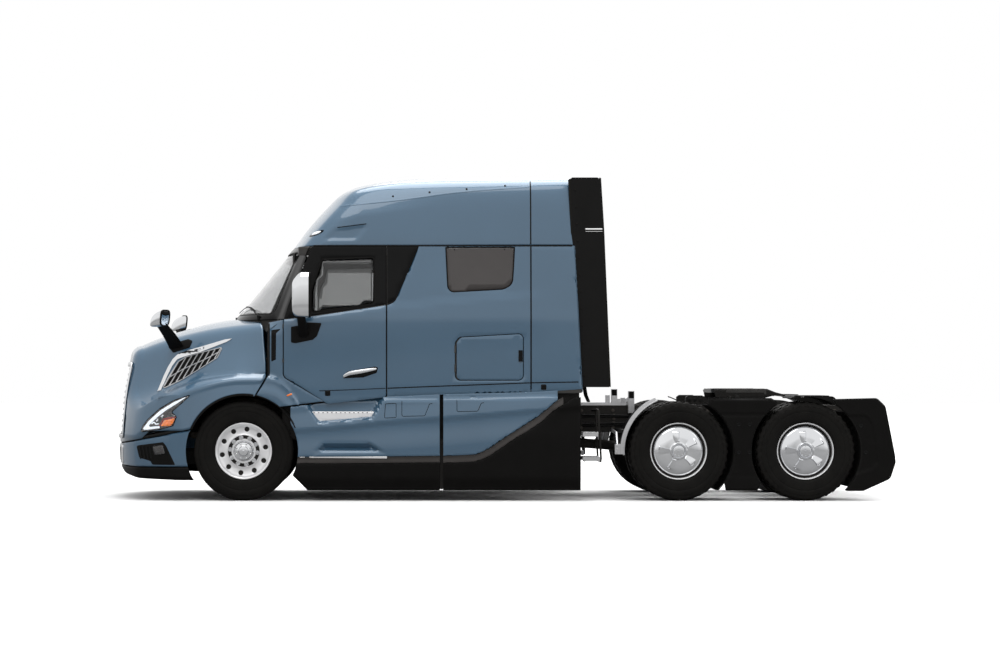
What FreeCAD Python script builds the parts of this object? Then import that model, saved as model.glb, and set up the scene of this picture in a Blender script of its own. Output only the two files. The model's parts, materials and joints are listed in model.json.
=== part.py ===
"""Three-axle sleeper-cab tractor unit, modelled at full size in millimetres.

Frame: +Z up, nose towards -X, left (driver's) side towards -Y. The origin is on the ground, midway
between nose and tail on the centreline. Left-hand pieces are made on the -Y side and mirrored.
The skin of cab, hood and fenders comes from three short section tables below.
"""
import FreeCAD
import Part
import math
import os

V = FreeCAD.Vector

# ---- driving dimensions -------------------------------------------------------------------
SEAT = 0.3                  # gap between pieces that are seated on each other
PANEL_GAP = 8.0             # shut line round doors
HALF_WIDTH = 1240.0         # outer face of fairings and fenders
WIDE = HALF_WIDTH + 160.0   # reach of a cut that goes right across

TYRE_R, TYRE_W, RIM_R = 517.0, 280.0, 286.0
AXLE_Z = TYRE_R
FRONT_AXLE_X = -2690.0
TANDEM_X, TANDEM_SPACING = 2504.0, 1321.0
DRIVE_X = [TANDEM_X - TANDEM_SPACING / 2, TANDEM_X + TANDEM_SPACING / 2]
TAIL_X = DRIVE_X[1] + 931.5     # rear edge of the rear fenders
FRONT_WHEEL_Y = 1058.0      # centre plane of a front wheel
DUAL_Y = [745.0, 1079.0]    # centre planes of the inner and outer drive tyre
SPINDLE_R = 42.0
KINGPIN_Y, KINGPIN_R = 880.0, 22.0
RUNNING = 0.08              # radial clearance of a pin in its bore

ARCH_R = TYRE_R + 81.0      # front wheel arch
FAIRING_ARCH_R = TYRE_R + 49.0
FENDER_R = TYRE_R + 51.0    # inside of the rear wheel guards
RAIL_Y, RAIL_FLANGE, RAIL_T = 432.0, 90.0, 9.0
RAIL_TOP, RAIL_H = 985.0, 285.0
RAIL_FRONT_X, RAIL_REAR_X = -3860.0, TAIL_X - 86.0

WALL = 55.0                 # thickness of cab walls and doors
GLASS_IN, GLASS_T = 12.0, 8.0
HOOD_T = 30.0
FIREWALL_X = -2450.0        # front face of the cowl
DOOR_FRONT_X, DOOR_REAR_X = -2271.0, -1205.0
DOOR_LOW_Z = 1000.0
SEAM_X = 306.0              # joint between cab side and rear panel
SILL_Z = 1123.0             # lower edge of cab sides
FLOOR_Z, FLOOR_T = 1170.0, 55.0
BELT_Z = 1890.0             # base of the greenhouse
ROOF_Z = 2662.0             # joint between roof cap and cab sides
FENDER_TOP_Y = 1150.0
SKIRT_Z = 109.0             # lower edge of fairings and fenders
HOOD_HINGE_X, HOOD_HINGE_Z, HOOD_HINGE_R, HOOD_HINGE_Y = -4076.0, 607.0, 7.0, 300.0
SIDE_HINGE_Y = 1192.0       # hinge lines of all side doors
HINGE_PIN_R = 5.0
LUGGAGE_X, LUGGAGE_Z = (-481.0, 223.0), (1258.0, 1739.0)
FIFTH_X, FIFTH_PIVOT_Z, FIFTH_TOP, FIFTH_PLATE_T = 2560.0, 1078.0, 1163.0, 42.0
KING_R = 25.7               # throat of the fifth wheel, for a 50.8 mm kingpin

# Greenhouse and roof by height: z, nose x on the centreline, x and y where glass meets pillar,
# x where pillar meets side, half width of the side.
CAB_SECTIONS = [
    (1890, -2850, -2354, 1000, -2266, 1188),
    (2010, -2755, -2310, 1000, -2226, 1181),
    (2662, -2222, -2078, 955, -1990, 1152),
    (2890, -2056, -1890, 940, -1800, 1143),
    (3100, -1870, -1700, 925, -1605, 1132),
    (3250, -1712, -1560, 900, -1460, 1112),
    (3330, -1570, -1250, 850, -1100, 1070),
    (3372, -1404, -941, 760, -480, 975),
    (3405, -1218, -554, 560, -204, 640),
    (3435, -923, -545, 200, -384, 240),
]
# Hood by length: x, crown z, shoulder y and z, flank y and z.
HOOD_SECTIONS = [
    (-4130, 1400, 560, 1360, 640, 1000),
    (-3985, 1500, 580, 1445, 690, 1040),
    (-3895, 1606, 600, 1540, 735, 1075),
    (-3785, 1664, 630, 1595, 790, 1110),
    (-3500, 1768, 705, 1690, 890, 1180),
    (-3000, 1895, 840, 1800, 1060, 1280),
    (-2460, 1962, 1000, 1862, 1166, 1340),
]
# Fenders by length: x, z of the crease on the outer face, z of the top beside the hood.
FENDER_SECTIONS = [
    (-4130, 640, 700),
    (-3743, 800, 880),
    (-3555, 985, 1060),
    (-3347, 1118, 1180),
    (-3139, 1190, 1250),
    (-2879, 1255, 1300),
    (-2723, 1272, 1318),
    (-2440, 1275, 1322),
]
# Plan shape of the nose by height: z, then x at each of NOSE_Y.
NOSE_Y = (0.0, 620.0, 1000.0, HALF_WIDTH)
NOSE_SECTIONS = [
    (200, -4075, -4020, -3850, -3420),
    (590, -4096, -4042, -3870, -3440),
    (1050, -4066, -4010, -3800, -3380),
    (1500, -3982, -3925, -3700, -3300),
    (2100, -3870, -3810, -3560, -3200),
]


# ---- shape helpers ------------------------------------------------------------------------
def at(plane, a, b, c):
    """The point (a, b) of a plane named by its two axes, at c along the third."""
    return {"xz": V(a, c, b), "yz": V(c, a, b), "xy": V(a, b, c)}[plane]


def outline(points, plane, c):
    """Closed wire through corners (a, b) or (a, b, radius)."""
    corners = [(p[0], p[1], p[2] if len(p) > 2 else 0.0) for p in points]
    stops = []
    for i, (a, b, r) in enumerate(corners):
        here = V(a, b, 0)
        before = V(corners[i - 1][0], corners[i - 1][1], 0) - here
        after_pt = corners[(i + 1) % len(corners)]
        after = V(after_pt[0], after_pt[1], 0) - here
        if r <= 0:
            stops.append((here, None, here))
            continue
        turn = before.getAngle(after)
        run = r / math.tan(turn / 2)
        before.normalize()
        after.normalize()
        bisector = before + after
        bisector.normalize()
        middle = here + bisector * (r / math.sin(turn / 2) - r)
        stops.append((here + before * run, middle, here + after * run))
    edges = []
    for i, (start, middle, end) in enumerate(stops):
        if middle is not None:
            ps = [at(plane, p.x, p.y, c) for p in (start, middle, end)]
            edges.append(Part.Arc(*ps).toShape())
        following = stops[(i + 1) % len(stops)][0]
        if (following - end).Length > 1e-6:
            line = [at(plane, p.x, p.y, c) for p in (end, following)]
            edges.append(Part.makeLine(*line))
    return Part.Wire(edges)


def prism(points, plane, low, high, grow=0.0):
    """An outline grown by some amount and extruded along its plane's normal from low to high."""
    wire = outline(points, plane, low)
    if grow:
        wire = wire.makeOffset2D(grow)
    direction = at(plane, 0, 0, high - low)
    return Part.Face(wire).extrude(direction)


def box(x0, x1, y0, y1, z0, z1):
    return Part.makeBox(x1 - x0, y1 - y0, z1 - z0, V(x0, y0, z0))


def rod(start, end, radius, bore=0.0):
    """Round bar between two points, or a tube if bore is set."""
    a, b = V(*start), V(*end)
    bar = Part.makeCylinder(radius, (b - a).Length, a, b - a)
    return bar.cut(Part.makeCylinder(bore, (b - a).Length, a, b - a)) if bore else bar


def loft(wires):
    return Part.makeLoft(wires, True, True)


def fuse(shapes):
    first, *rest = shapes
    return first.fuse(rest).removeSplitter() if rest else first


def mirrored(shape):
    return shape.mirror(V(0, 0, 0), V(0, 1, 0))


def pair(shape):
    """A left-hand shape and its mirror image, as separate solids."""
    return Part.makeCompound([shape, mirrored(shape)])


def revolved(points, x, z):
    """A profile of (y, radius) corners turned about a wheel axis through x, z."""
    solid = Part.Face(outline(points, "yz", 0)).revolve(V(0, 0, 0), V(0, 1, 0), 360)
    solid.translate(V(x, 0, z))
    return solid


# ---- surfaces shared by several pieces ----------------------------------------------------
def back_x(z):
    """The rear edge of the cab, which leans forward as it rises."""
    return 833.0 - 0.051 * (z - 1123.0)


def cab_wire(section, t):
    """Plan outline of the cab at one height, moved inwards by t."""
    z, x0, x1, y1, x2, y2 = section
    x0, x1, y1, x2, y2, x3 = x0 + 1.3 * t, x1 + 0.74 * t, y1 - t, x2 + 0.7 * t, y2 - t, back_x(z) - t
    arc = Part.Arc(V(x1, -y1, z), V(x0, 0, z), V(x1, y1, z)).toShape()
    stops = [V(x1, y1, z), V(x2, y2, z), V(x3, y2, z), V(x3, -y2, z), V(x2, -y2, z), V(x1, -y1, z)]
    return Part.Wire([arc] + [Part.makeLine(a, b) for a, b in zip(stops, stops[1:])])


def greenhouse(t):
    """The glazed part of the cab, moved inwards by t."""
    return loft([cab_wire(s, t) for s in CAB_SECTIONS if s[0] <= ROOF_Z])


def roof(t):
    """The roof cap above its joint, moved inwards by t."""
    rise = CAB_SECTIONS[-1][0] - ROOF_Z
    sections = [s for s in CAB_SECTIONS if s[0] >= ROOF_Z]
    return loft([cab_wire((s[0] - t * (s[0] - ROOF_Z) / rise,) + s[1:], t) for s in sections])


def lower_cab(t, front):
    """The straight-sided part below the glass, moved inwards by t and ending at a front x."""
    y = CAB_SECTIONS[0][5] - t
    wires = []
    for z in (DOOR_LOW_Z, BELT_Z):
        x = back_x(z) - t
        corners = [V(front, -y, z), V(x, -y, z), V(x, y, z), V(front, y, z)]
        wires.append(Part.makePolygon(corners + corners[:1]))
    return loft(wires)


def cowl_wire(x, flank_y, shoulder_y, shoulder_z, t):
    """Cross-section of the cowl between hood and doors, moved inwards by t."""
    half = [(flank_y - t, SILL_Z - t), (flank_y - t, 1340), (shoulder_y - t, shoulder_z)]
    ring = half + [(-y, z) for y, z in reversed(half)]
    return Part.makePolygon([V(x, y, z) for y, z in ring + ring[:1]])


def nose(t):
    """Everything behind the nose's plan curve, moved inwards by t."""
    wires = []
    for z, *xs in NOSE_SECTIONS:
        left = [V(x + t, -y, z) for x, y in zip(xs, NOSE_Y)]
        left[3] = V(xs[3] + t, -NOSE_Y[3] + t, z)
        right = [V(p.x, -p.y, z) for p in left]
        arc = Part.Arc(left[1], left[0], right[1]).toShape()
        rear = [V(-2200, right[3].y, z), V(-2200, left[3].y, z)]
        stops = right[1:] + rear + left[:0:-1]
        wires.append(Part.Wire([arc] + [Part.makeLine(a, b) for a, b in zip(stops, stops[1:])]))
    return loft(wires)


def hood_crown(t):
    """The upper hood without fenders, moved inwards by t."""
    wires = []
    for x, crown, sy, sz, fy, fz in HOOD_SECTIONS:
        foot = [V(x, fy - t, 300), V(x, fy - t, fz - 0.4 * t), V(x, sy - 0.7 * t, sz - t)]
        other = [V(p.x, -p.y, p.z) for p in foot]
        arc = Part.Arc(other[2], V(x, 0, crown - t), foot[2]).toShape()
        stops = [foot[2], foot[1], foot[0], other[0], other[1], other[2]]
        wires.append(Part.Wire([arc] + [Part.makeLine(a, b) for a, b in zip(stops, stops[1:])]))
    return loft(wires)


def fenders(t):
    """Both front fenders as one full-width block, moved inwards by t."""
    wires = []
    for x, crease, top in FENDER_SECTIONS:
        half = [(NOSE_Y[3] - t, 300), (NOSE_Y[3] - t, crease - 0.8 * t), (FENDER_TOP_Y - 0.5 * t, top - t)]
        ring = half + [(-y, z) for y, z in reversed(half)]
        wires.append(Part.makePolygon([V(x, y, z) for y, z in ring + ring[:1]]))
    return loft(wires)


def front_body(t):
    return hood_crown(t).fuse(fenders(t)).common(nose(t))


def hinge_barrel(x, y, z, cut_radius=None):
    """Lower (fixed, with pin) and upper (moving, bored) half of a small hinge, and their pockets."""
    r, h = HINGE_PIN_R, 40.0
    fixed = fuse([rod((x, y, z), (x, y, z + h), 2 * r), rod((x, y, z + h), (x, y, z + 2 * h), r)])
    moving = rod((x, y, z + h + 1), (x, y, z + 2 * h), 2 * r, r + RUNNING)
    room = 2 * r + 5.5
    return {
        "fixed": fixed,
        "moving": moving,
        "pocket_in_moving": rod((x, y, z - 5.5), (x, y, z + h + 1), room),
        "pocket_in_fixed": rod((x, y, z + h), (x, y, z + 2 * h + 5.5), room),
    }


nodes = {}

# ---- chassis ------------------------------------------------------------------------------
channel = [
    (-RAIL_Y, RAIL_TOP - RAIL_H), (-RAIL_Y, RAIL_TOP), (-RAIL_Y + RAIL_FLANGE, RAIL_TOP),
    (-RAIL_Y + RAIL_FLANGE, RAIL_TOP - RAIL_T), (-RAIL_Y + RAIL_T, RAIL_TOP - RAIL_T),
    (-RAIL_Y + RAIL_T, RAIL_TOP - RAIL_H + RAIL_T), (-RAIL_Y + RAIL_FLANGE, RAIL_TOP - RAIL_H + RAIL_T),
    (-RAIL_Y + RAIL_FLANGE, RAIL_TOP - RAIL_H),
]
rail = prism(channel, "yz", RAIL_FRONT_X, RAIL_REAR_X)
nodes["frame_rails"] = pair(rail)

member_y = RAIL_Y - RAIL_T - SEAT
members = [box(x - 40, x + 40, -member_y, member_y, RAIL_TOP - RAIL_H + RAIL_T + SEAT,
               RAIL_TOP - RAIL_T - SEAT)
           for x in (-3820, -1400, 0, 1250, TANDEM_X, RAIL_REAR_X - 70)]
nodes["crossmembers"] = Part.makeCompound([
    m.cut(box(-5000, 5000, -200, 200, RAIL_TOP - RAIL_H, RAIL_TOP - 90)) for m in members])

axle_boss = rod((FRONT_AXLE_X, -KINGPIN_Y, AXLE_Z - 75), (FRONT_AXLE_X, -KINGPIN_Y, AXLE_Z + 75), 38)
beam = prism([(-KINGPIN_Y, AXLE_Z - 50), (-760, AXLE_Z - 50), (-560, 380), (560, 380), (760, AXLE_Z - 50),
              (KINGPIN_Y, AXLE_Z - 50), (KINGPIN_Y, AXLE_Z + 50), (700, AXLE_Z + 50), (520, 470),
              (-520, 470),
              (-700, AXLE_Z + 50), (-KINGPIN_Y, AXLE_Z + 50)], "yz", FRONT_AXLE_X - 32, FRONT_AXLE_X + 32)
kingpin_bore = rod((FRONT_AXLE_X, -KINGPIN_Y, 300), (FRONT_AXLE_X, -KINGPIN_Y, 800), KINGPIN_R + RUNNING)
front_axle = fuse([beam, axle_boss, mirrored(axle_boss)])
nodes["front_axle"] = front_axle.cut(kingpin_bore).cut(mirrored(kingpin_bore))

SPRING_X, SPRING_Y, SPRING_W = 600.0, RAIL_Y + 18.0, 76.0
leaf = prism([(FRONT_AXLE_X - SPRING_X, 640), (FRONT_AXLE_X - 200, 540), (FRONT_AXLE_X + 200, 540),
              (FRONT_AXLE_X + SPRING_X, 640), (FRONT_AXLE_X + SPRING_X, 672), (FRONT_AXLE_X + 180, 600),
              (FRONT_AXLE_X - 180, 600), (FRONT_AXLE_X - SPRING_X, 672)],
             "xz", -SPRING_Y - SPRING_W / 2, -SPRING_Y + SPRING_W / 2)
spring_seat = box(FRONT_AXLE_X - 70, FRONT_AXLE_X + 70, -SPRING_Y - 38, -SPRING_Y + 38, 470 + SEAT, 541)
hangers = [box(x - 35, x + 35, -SPRING_Y - 38, -SPRING_Y + 38, 640, RAIL_TOP - RAIL_H - SEAT)
           for x in (FRONT_AXLE_X - SPRING_X + 35, FRONT_AXLE_X + SPRING_X - 35)]
nodes["front_springs"] = pair(fuse([leaf, spring_seat] + hangers))

SPINDLE_END_Y, HOUSING_HALF = 1180.0, 210.0
axles = []
for x in DRIVE_X:
    tube = rod((x, -590, AXLE_Z), (x, 590, AXLE_Z), 72)
    housing = revolved([(-210, 0), (-210, 80), (-110, 205, 60), (110, 205, 60), (210, 80), (210, 0)], x,
                       AXLE_Z)
    nose_housing = rod((x - HOUSING_HALF, 0, AXLE_Z), (x + HOUSING_HALF, 0, AXLE_Z), 90)
    spindle = rod((x, -SPINDLE_END_Y, AXLE_Z), (x, SPINDLE_END_Y, AXLE_Z), SPINDLE_R)
    axles.append(fuse([tube, housing, nose_housing, spindle]))
nodes["drive_axles"] = Part.makeCompound(axles)

bags = []
for x in DRIVE_X:
    arm = prism([(x - 520, 590), (x - 440, 590), (x - 90, 520), (x + 90, 520), (x + 300, 470),
                 (x + 300, 430),
                 (x - 60, 440), (x - 520, 540)], "xz", -RAIL_Y - 40, -RAIL_Y + 40).cut(
                     rod((x, -800, AXLE_Z), (x, 0, AXLE_Z), 72 + SEAT))
    bag = rod((x + 210, -RAIL_Y, 460), (x + 210, -RAIL_Y, RAIL_TOP - RAIL_H - SEAT), 118)
    hanger = box(x - 520, x - 440, -RAIL_Y - 40, -RAIL_Y + 40, 560, RAIL_TOP - RAIL_H - SEAT)
    bags.append(fuse([arm, bag, hanger]))
nodes["rear_suspension"] = Part.makeCompound(bags + [mirrored(b) for b in bags])

nodes["engine_and_gearbox"] = fuse([
    box(-3700, -2480, -RAIL_Y + RAIL_FLANGE + SEAT - 60, RAIL_Y - RAIL_FLANGE - SEAT + 60, 1000, 1500),
    box(-3700, -2480, -RAIL_Y + RAIL_FLANGE + 5, RAIL_Y - RAIL_FLANGE - 5, 640, 1001),
    box(-3600, -3500, -RAIL_Y + 20, RAIL_Y - 20, RAIL_TOP + SEAT, 1001),
    box(-2700, -2600, -RAIL_Y + 20, RAIL_Y - 20, RAIL_TOP + SEAT, 1001),
    box(-2481, -1500, -210, 210, 640, 1000),
])
nodes["radiator"] = box(-3780, -3705, -430, 430, RAIL_TOP + SEAT, 1400)
SHAFT_R, FLANGE_R, FLANGE_T = 52.0, 75.0, 30.0
GEARBOX_END_X, GEARBOX_OUT_Z = -1500.0, 760.0
shafts = []
for (x0, z0), (x1, z1) in [((GEARBOX_END_X, GEARBOX_OUT_Z), (DRIVE_X[0] - HOUSING_HALF, AXLE_Z)),
                           ((DRIVE_X[0] + HOUSING_HALF, AXLE_Z), (DRIVE_X[1] - HOUSING_HALF, AXLE_Z))]:
    shafts.append(fuse([
        rod((x0 + SEAT, 0, z0), (x0 + FLANGE_T, 0, z0), FLANGE_R),
        rod((x0 + FLANGE_T - 8, 0, z0), (x1 - FLANGE_T + 8, 0, z1), SHAFT_R),
        rod((x1 - FLANGE_T, 0, z1), (x1 - SEAT, 0, z1), FLANGE_R)]))
nodes["drive_shafts"] = Part.makeCompound(shafts)

TANK_R, TANK_Y, TANK_Z, TANK_X = 315.0, 800.0, 600.0, (-980.0, 420.0)
tank = rod((TANK_X[0], -TANK_Y, TANK_Z), (TANK_X[1], -TANK_Y, TANK_Z), TANK_R)
saddles = [box(x - 40, x + 40, -700, -RAIL_Y - SEAT, 720, 930) for x in (-700, 150)]
nodes["fuel_tanks"] = pair(fuse([tank] + saddles))

# ---- front wheels and steering ------------------------------------------------------------
ARM_X, ARM_Z = 180.0, AXLE_Z - 108
fork = [rod((FRONT_AXLE_X, -KINGPIN_Y, z), (FRONT_AXLE_X, -KINGPIN_Y, z + 30), 40)
        for z in (AXLE_Z - 105.5, AXLE_Z + 75.5)]
web = box(FRONT_AXLE_X - 40, FRONT_AXLE_X + 40, -960, -920.5, AXLE_Z - 105.5, AXLE_Z + 105.5)
bridges = [box(FRONT_AXLE_X - 40, FRONT_AXLE_X + 40, -921, -KINGPIN_Y, z, z + 30)
           for z in (AXLE_Z - 105.5, AXLE_Z + 75.5)]
steer_arm = prism([(FRONT_AXLE_X - 30, -KINGPIN_Y - 30), (FRONT_AXLE_X + ARM_X + 24, -KINGPIN_Y - 24, 20),
                   (FRONT_AXLE_X + ARM_X + 24, -KINGPIN_Y + 24, 20), (FRONT_AXLE_X - 30, -KINGPIN_Y + 30)],
                  "xy", AXLE_Z - 134, AXLE_Z - 104)
ball = (FRONT_AXLE_X + ARM_X, -KINGPIN_Y)
ROD_Z = AXLE_Z - 172.0
nodes["knuckle_left"] = fuse(fork + bridges + [
    web, steer_arm,
    rod((FRONT_AXLE_X, -KINGPIN_Y, AXLE_Z - 105.5), (FRONT_AXLE_X, -KINGPIN_Y, AXLE_Z + 105.5), KINGPIN_R),
    rod((FRONT_AXLE_X, -925, AXLE_Z), (FRONT_AXLE_X, -SPINDLE_END_Y, AXLE_Z), SPINDLE_R),
    rod((ball[0], ball[1], ROD_Z - 22), (ball[0], ball[1], AXLE_Z - 120), 14)])
nodes["knuckle_right"] = mirrored(nodes["knuckle_left"])
eye = rod((ball[0], -KINGPIN_Y, ROD_Z - 20), (ball[0], -KINGPIN_Y, ROD_Z + 20), 32)
eye_bore = rod((ball[0], -KINGPIN_Y, ROD_Z - 30), (ball[0], -KINGPIN_Y, ROD_Z + 30), 14 + RUNNING)
nodes["tie_rod"] = fuse([rod((ball[0], -KINGPIN_Y, ROD_Z), (ball[0], KINGPIN_Y, ROD_Z), 17),
                         eye, mirrored(eye)]).cut(eye_bore).cut(mirrored(eye_bore))


def tyre(y, x):
    """Tyre with straight tread and rounded shoulders, its bead seated on the rim."""
    w, r = TYRE_W / 2, TYRE_R
    inside = RIM_R + SEAT
    wall = r - inside
    half = [(w - 40, inside), (w - 40, inside + 12), (w - 12, inside + 0.18 * wall, 12),
            (w, inside + 0.48 * wall, 50), (w - 8, r - 0.2 * wall, 20), (w - 34, r, 18)]
    ring = half + [(-a, *rest) for a, *rest in reversed(half)]
    return revolved([(y + a, *rest) for a, *rest in ring], x, AXLE_Z)


def barrel(y, x):
    """Rim barrel with a flange on each side of the tyre bead."""
    w = TYRE_W / 2 - 40 + SEAT
    half = [(w + 8, RIM_R - 16), (w + 8, RIM_R + 8), (w, RIM_R + 8), (w, RIM_R)]
    ring = half + [(-a, r) for a, r in reversed(half)]
    return revolved([(y + a, r) for a, r in ring], x, AXLE_Z)


HAND_HOLES, HAND_HOLE_R, HAND_HOLE_AT = 10, 30.0, 232.0
LUGS, LUG_AT, LUG_R = 10, 143.0, 16.0
HUB_R = 108.0


def ring_of(shape, count, x):
    """Copies of a shape spaced evenly about a wheel axis."""
    copies = []
    for i in range(count):
        copy = shape.copy()
        copy.rotate(V(x, 0, AXLE_Z), V(0, 1, 0), 360.0 * i / count)
        copies.append(copy)
    return copies


def wheel_disc_detail(solid, x, face_y, deep_y):
    """Hand holes and wheel nuts on a left-hand wheel whose disc faces outwards at face_y."""
    hole = rod((x, face_y - 30, AXLE_Z + HAND_HOLE_AT), (x, deep_y, AXLE_Z + HAND_HOLE_AT), HAND_HOLE_R)
    nut = rod((x, face_y - 28, AXLE_Z + LUG_AT), (x, face_y + 4, AXLE_Z + LUG_AT), LUG_R)
    return fuse([solid.cut(ring_of(hole, HAND_HOLES, x))] + ring_of(nut, LUGS, x))


def hub(x, cap_y, cap_r, shoulder_y, inner_y):
    """Closed hub running on a spindle, its cap facing the left."""
    end = -SPINDLE_END_Y - SEAT
    bore = SPINDLE_R + RUNNING
    return revolved([(cap_y, 0), (cap_y, cap_r), (shoulder_y, HUB_R), (inner_y, HUB_R), (inner_y, bore),
                     (end, bore), (end, 0)], x, AXLE_Z)


nodes["tyre_front_left"] = tyre(-FRONT_WHEEL_Y, FRONT_AXLE_X)
FACE_Y = -FRONT_WHEEL_Y - 62
disc = revolved([(FACE_Y, 60), (FACE_Y, RIM_R - 10), (FACE_Y + 18, RIM_R - 10), (FACE_Y + 18, 60)],
                FRONT_AXLE_X, AXLE_Z)
nodes["rim_front_left"] = wheel_disc_detail(
    fuse([barrel(-FRONT_WHEEL_Y, FRONT_AXLE_X), disc, hub(FRONT_AXLE_X, -1205, 75, -1140, -970)]),
    FRONT_AXLE_X, FACE_Y, FACE_Y + 60)

COVER_R, COVER_Y, BLADES = 262.0, -1178.0, 5
for name, x in zip(("forward", "rear"), DRIVE_X):
    inner, outer = [-y for y in DUAL_Y]
    mid = (inner + outer) / 2
    nodes[f"tyres_{name}_left"] = Part.makeCompound([tyre(inner, x), tyre(outer, x)])
    dish = revolved([(mid - 80, RIM_R - 12), (mid - 80, RIM_R - 24), (mid - 16, RIM_R - 36), (mid - 16, 60),
                     (mid + 16, 60), (mid + 16, RIM_R - 36), (mid + 80, RIM_R - 24), (mid + 80, RIM_R - 12),
                     (mid, RIM_R - 24)], x, AXLE_Z)
    cover = revolved([(COVER_Y - 6, 60), (COVER_Y - 6, COVER_R - 20), (COVER_Y, COVER_R),
                      (COVER_Y + 20, RIM_R - 10),
                      (COVER_Y + 28, RIM_R - 10), (COVER_Y + 8, COVER_R - 8), (COVER_Y + 2, COVER_R - 20),
                      (COVER_Y + 2, 60)], x, AXLE_Z)
    blade = prism([(x - 24, AXLE_Z + 100), (x - 60, AXLE_Z + 236), (x + 60, AXLE_Z + 236),
                   (x + 24, AXLE_Z + 100)],
                  "xz", COVER_Y - 16, COVER_Y)
    nodes[f"rims_{name}_left"] = fuse([
        barrel(outer, x), barrel(inner, x), dish, cover,
        hub(x, -1212, 84, -1150, -700)] + ring_of(blade, BLADES, x))

# ---- cab ----------------------------------------------------------------------------------
glasshouse = greenhouse(0).cut(greenhouse(WALL))
lower = lower_cab(0, DOOR_FRONT_X - PANEL_GAP).cut(lower_cab(WALL, DOOR_FRONT_X - 300))
SIDE_Y = CAB_SECTIONS[0][5]

# Door outline in side view: the pillar line above the belt, stepping up over the front wheel.
door_edge = [(DOOR_FRONT_X, 1310, 30), (DOOR_FRONT_X, 1885), (-1978, ROOF_Z - PANEL_GAP),
             (DOOR_REAR_X, ROOF_Z - PANEL_GAP),
             (DOOR_REAR_X, 1080, 30), (-1812, 1007, 60), (-2104, 1195, 60), (-2251, 1279, 40)]
window_edge = [(-1871, 2517, 30), (-1330, 2537, 30), (-1335, 2049, 40), (-1985, 1965, 30),
               (-1985, 2194, 60)]
sleeper_edge = [(-583, 2635, 15), (137, 2635, 15), (124, 2440, 60), (100, 2270, 60), (0, 2205, 80),
                (-560, 2172, 80)]
luggage_edge = [(LUGGAGE_X[0], LUGGAGE_Z[0], 50), (LUGGAGE_X[1], LUGGAGE_Z[0], 50),
                (LUGGAGE_X[1], LUGGAGE_Z[1], 50),
                (-440, 1700, 50), (LUGGAGE_X[0], 1650, 50)]
cab_side_edge = [(DOOR_REAR_X + PANEL_GAP, SILL_Z), (SEAM_X - SEAT, SILL_Z), (SEAM_X - SEAT, ROOF_Z - SEAT),
                 (DOOR_REAR_X + PANEL_GAP, ROOF_Z - SEAT)]


def side(shape, edge, grow=0.0):
    """The part of a shell on the left side within an outline in side view."""
    return shape.common(prism(edge, "xz", -WIDE, -700, grow))


side_wall = fuse([side(lower, [(-2300, 900), (1000, 900), (1000, BELT_Z), (-2300, BELT_Z)]),
                  side(glasshouse, [(-2500, BELT_Z), (1000, BELT_Z), (1000, ROOF_Z), (-2500, ROOF_Z)])])
glass = greenhouse(GLASS_IN).cut(greenhouse(GLASS_IN + GLASS_T))


def with_hinges(fixed, moving, x, heights):
    """Fit barrels at several heights between a fixed and a moving piece."""
    for z in heights:
        barrel_parts = hinge_barrel(x, -SIDE_HINGE_Y, z)
        fixed = fuse([fixed.cut(barrel_parts["pocket_in_fixed"]), barrel_parts["fixed"]])
        moving = fuse([moving.cut(barrel_parts["pocket_in_moving"]), barrel_parts["moving"]])
    return fixed, moving


door = side(side_wall, door_edge).cut(prism(window_edge, "xz", -WIDE, -900))
cab_side = side(side_wall, cab_side_edge)
cab_side = cab_side.cut(prism(luggage_edge, "xz", -WIDE, -900, PANEL_GAP)).cut(
    prism(sleeper_edge, "xz", -WIDE, -900))
luggage_door = side(side_wall, luggage_edge)

cowl_solid = loft([cowl_wire(FIREWALL_X, 1166, 1000, 1862, 0),
                   cowl_wire(DOOR_FRONT_X - PANEL_GAP, SIDE_Y, SIDE_Y, BELT_Z, 0)])
cowl_hollow = loft([cowl_wire(FIREWALL_X + WALL, 1166, 1000, 1900, WALL),
                    cowl_wire(DOOR_FRONT_X, SIDE_Y, SIDE_Y, 1900, WALL)])
plenum_arc = Part.Arc(V(-2488, -1000, BELT_Z - WALL), V(-2858, 0, BELT_Z - WALL),
                      V(-2488, 1000, BELT_Z - WALL)).toShape()
plenum_stops = [V(-2488, 1000, BELT_Z - WALL), V(-2300, 1000, BELT_Z - WALL),
                V(-2300, -1000, BELT_Z - WALL),
                V(-2488, -1000, BELT_Z - WALL)]
plenum_lines = [Part.makeLine(a, b) for a, b in zip(plenum_stops, plenum_stops[1:])]
plenum = Part.Face(Part.Wire([plenum_arc] + plenum_lines))
plenum = plenum.extrude(V(0, 0, WALL))
screen_edge = [(-940, 1945, 60), (940, 1945, 60), (895, 2612, 60), (-895, 2612, 60)]
pillar_edge = [(-3000, BELT_Z), (DOOR_FRONT_X - PANEL_GAP, BELT_Z), (-1978 - PANEL_GAP, ROOF_Z - SEAT),
               (-3000, ROOF_Z - SEAT)]
pillars = glasshouse.common(prism(pillar_edge, "xz", -WIDE, WIDE))
PILLAR_FOOT = 45.0          # how far the pillars reach down into the cowl
feet = [Part.Face(cab_wire(CAB_SECTIONS[0], t)).extrude(V(0, 0, -PILLAR_FOOT)) for t in (0, WALL)]
pillar_feet = feet[0].cut(feet[1]).common(box(-3000, DOOR_FRONT_X - PANEL_GAP, -1300, 1300, 1500, BELT_Z))
cab_front = fuse([cowl_solid.cut(cowl_hollow), plenum, pillar_feet, pillars]).cut(prism(screen_edge, "yz",
                                                                                        -3100, -1900))
nodes["windshield"] = glass.common(prism(screen_edge, "yz", -3100, -1900, -SEAT))

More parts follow.
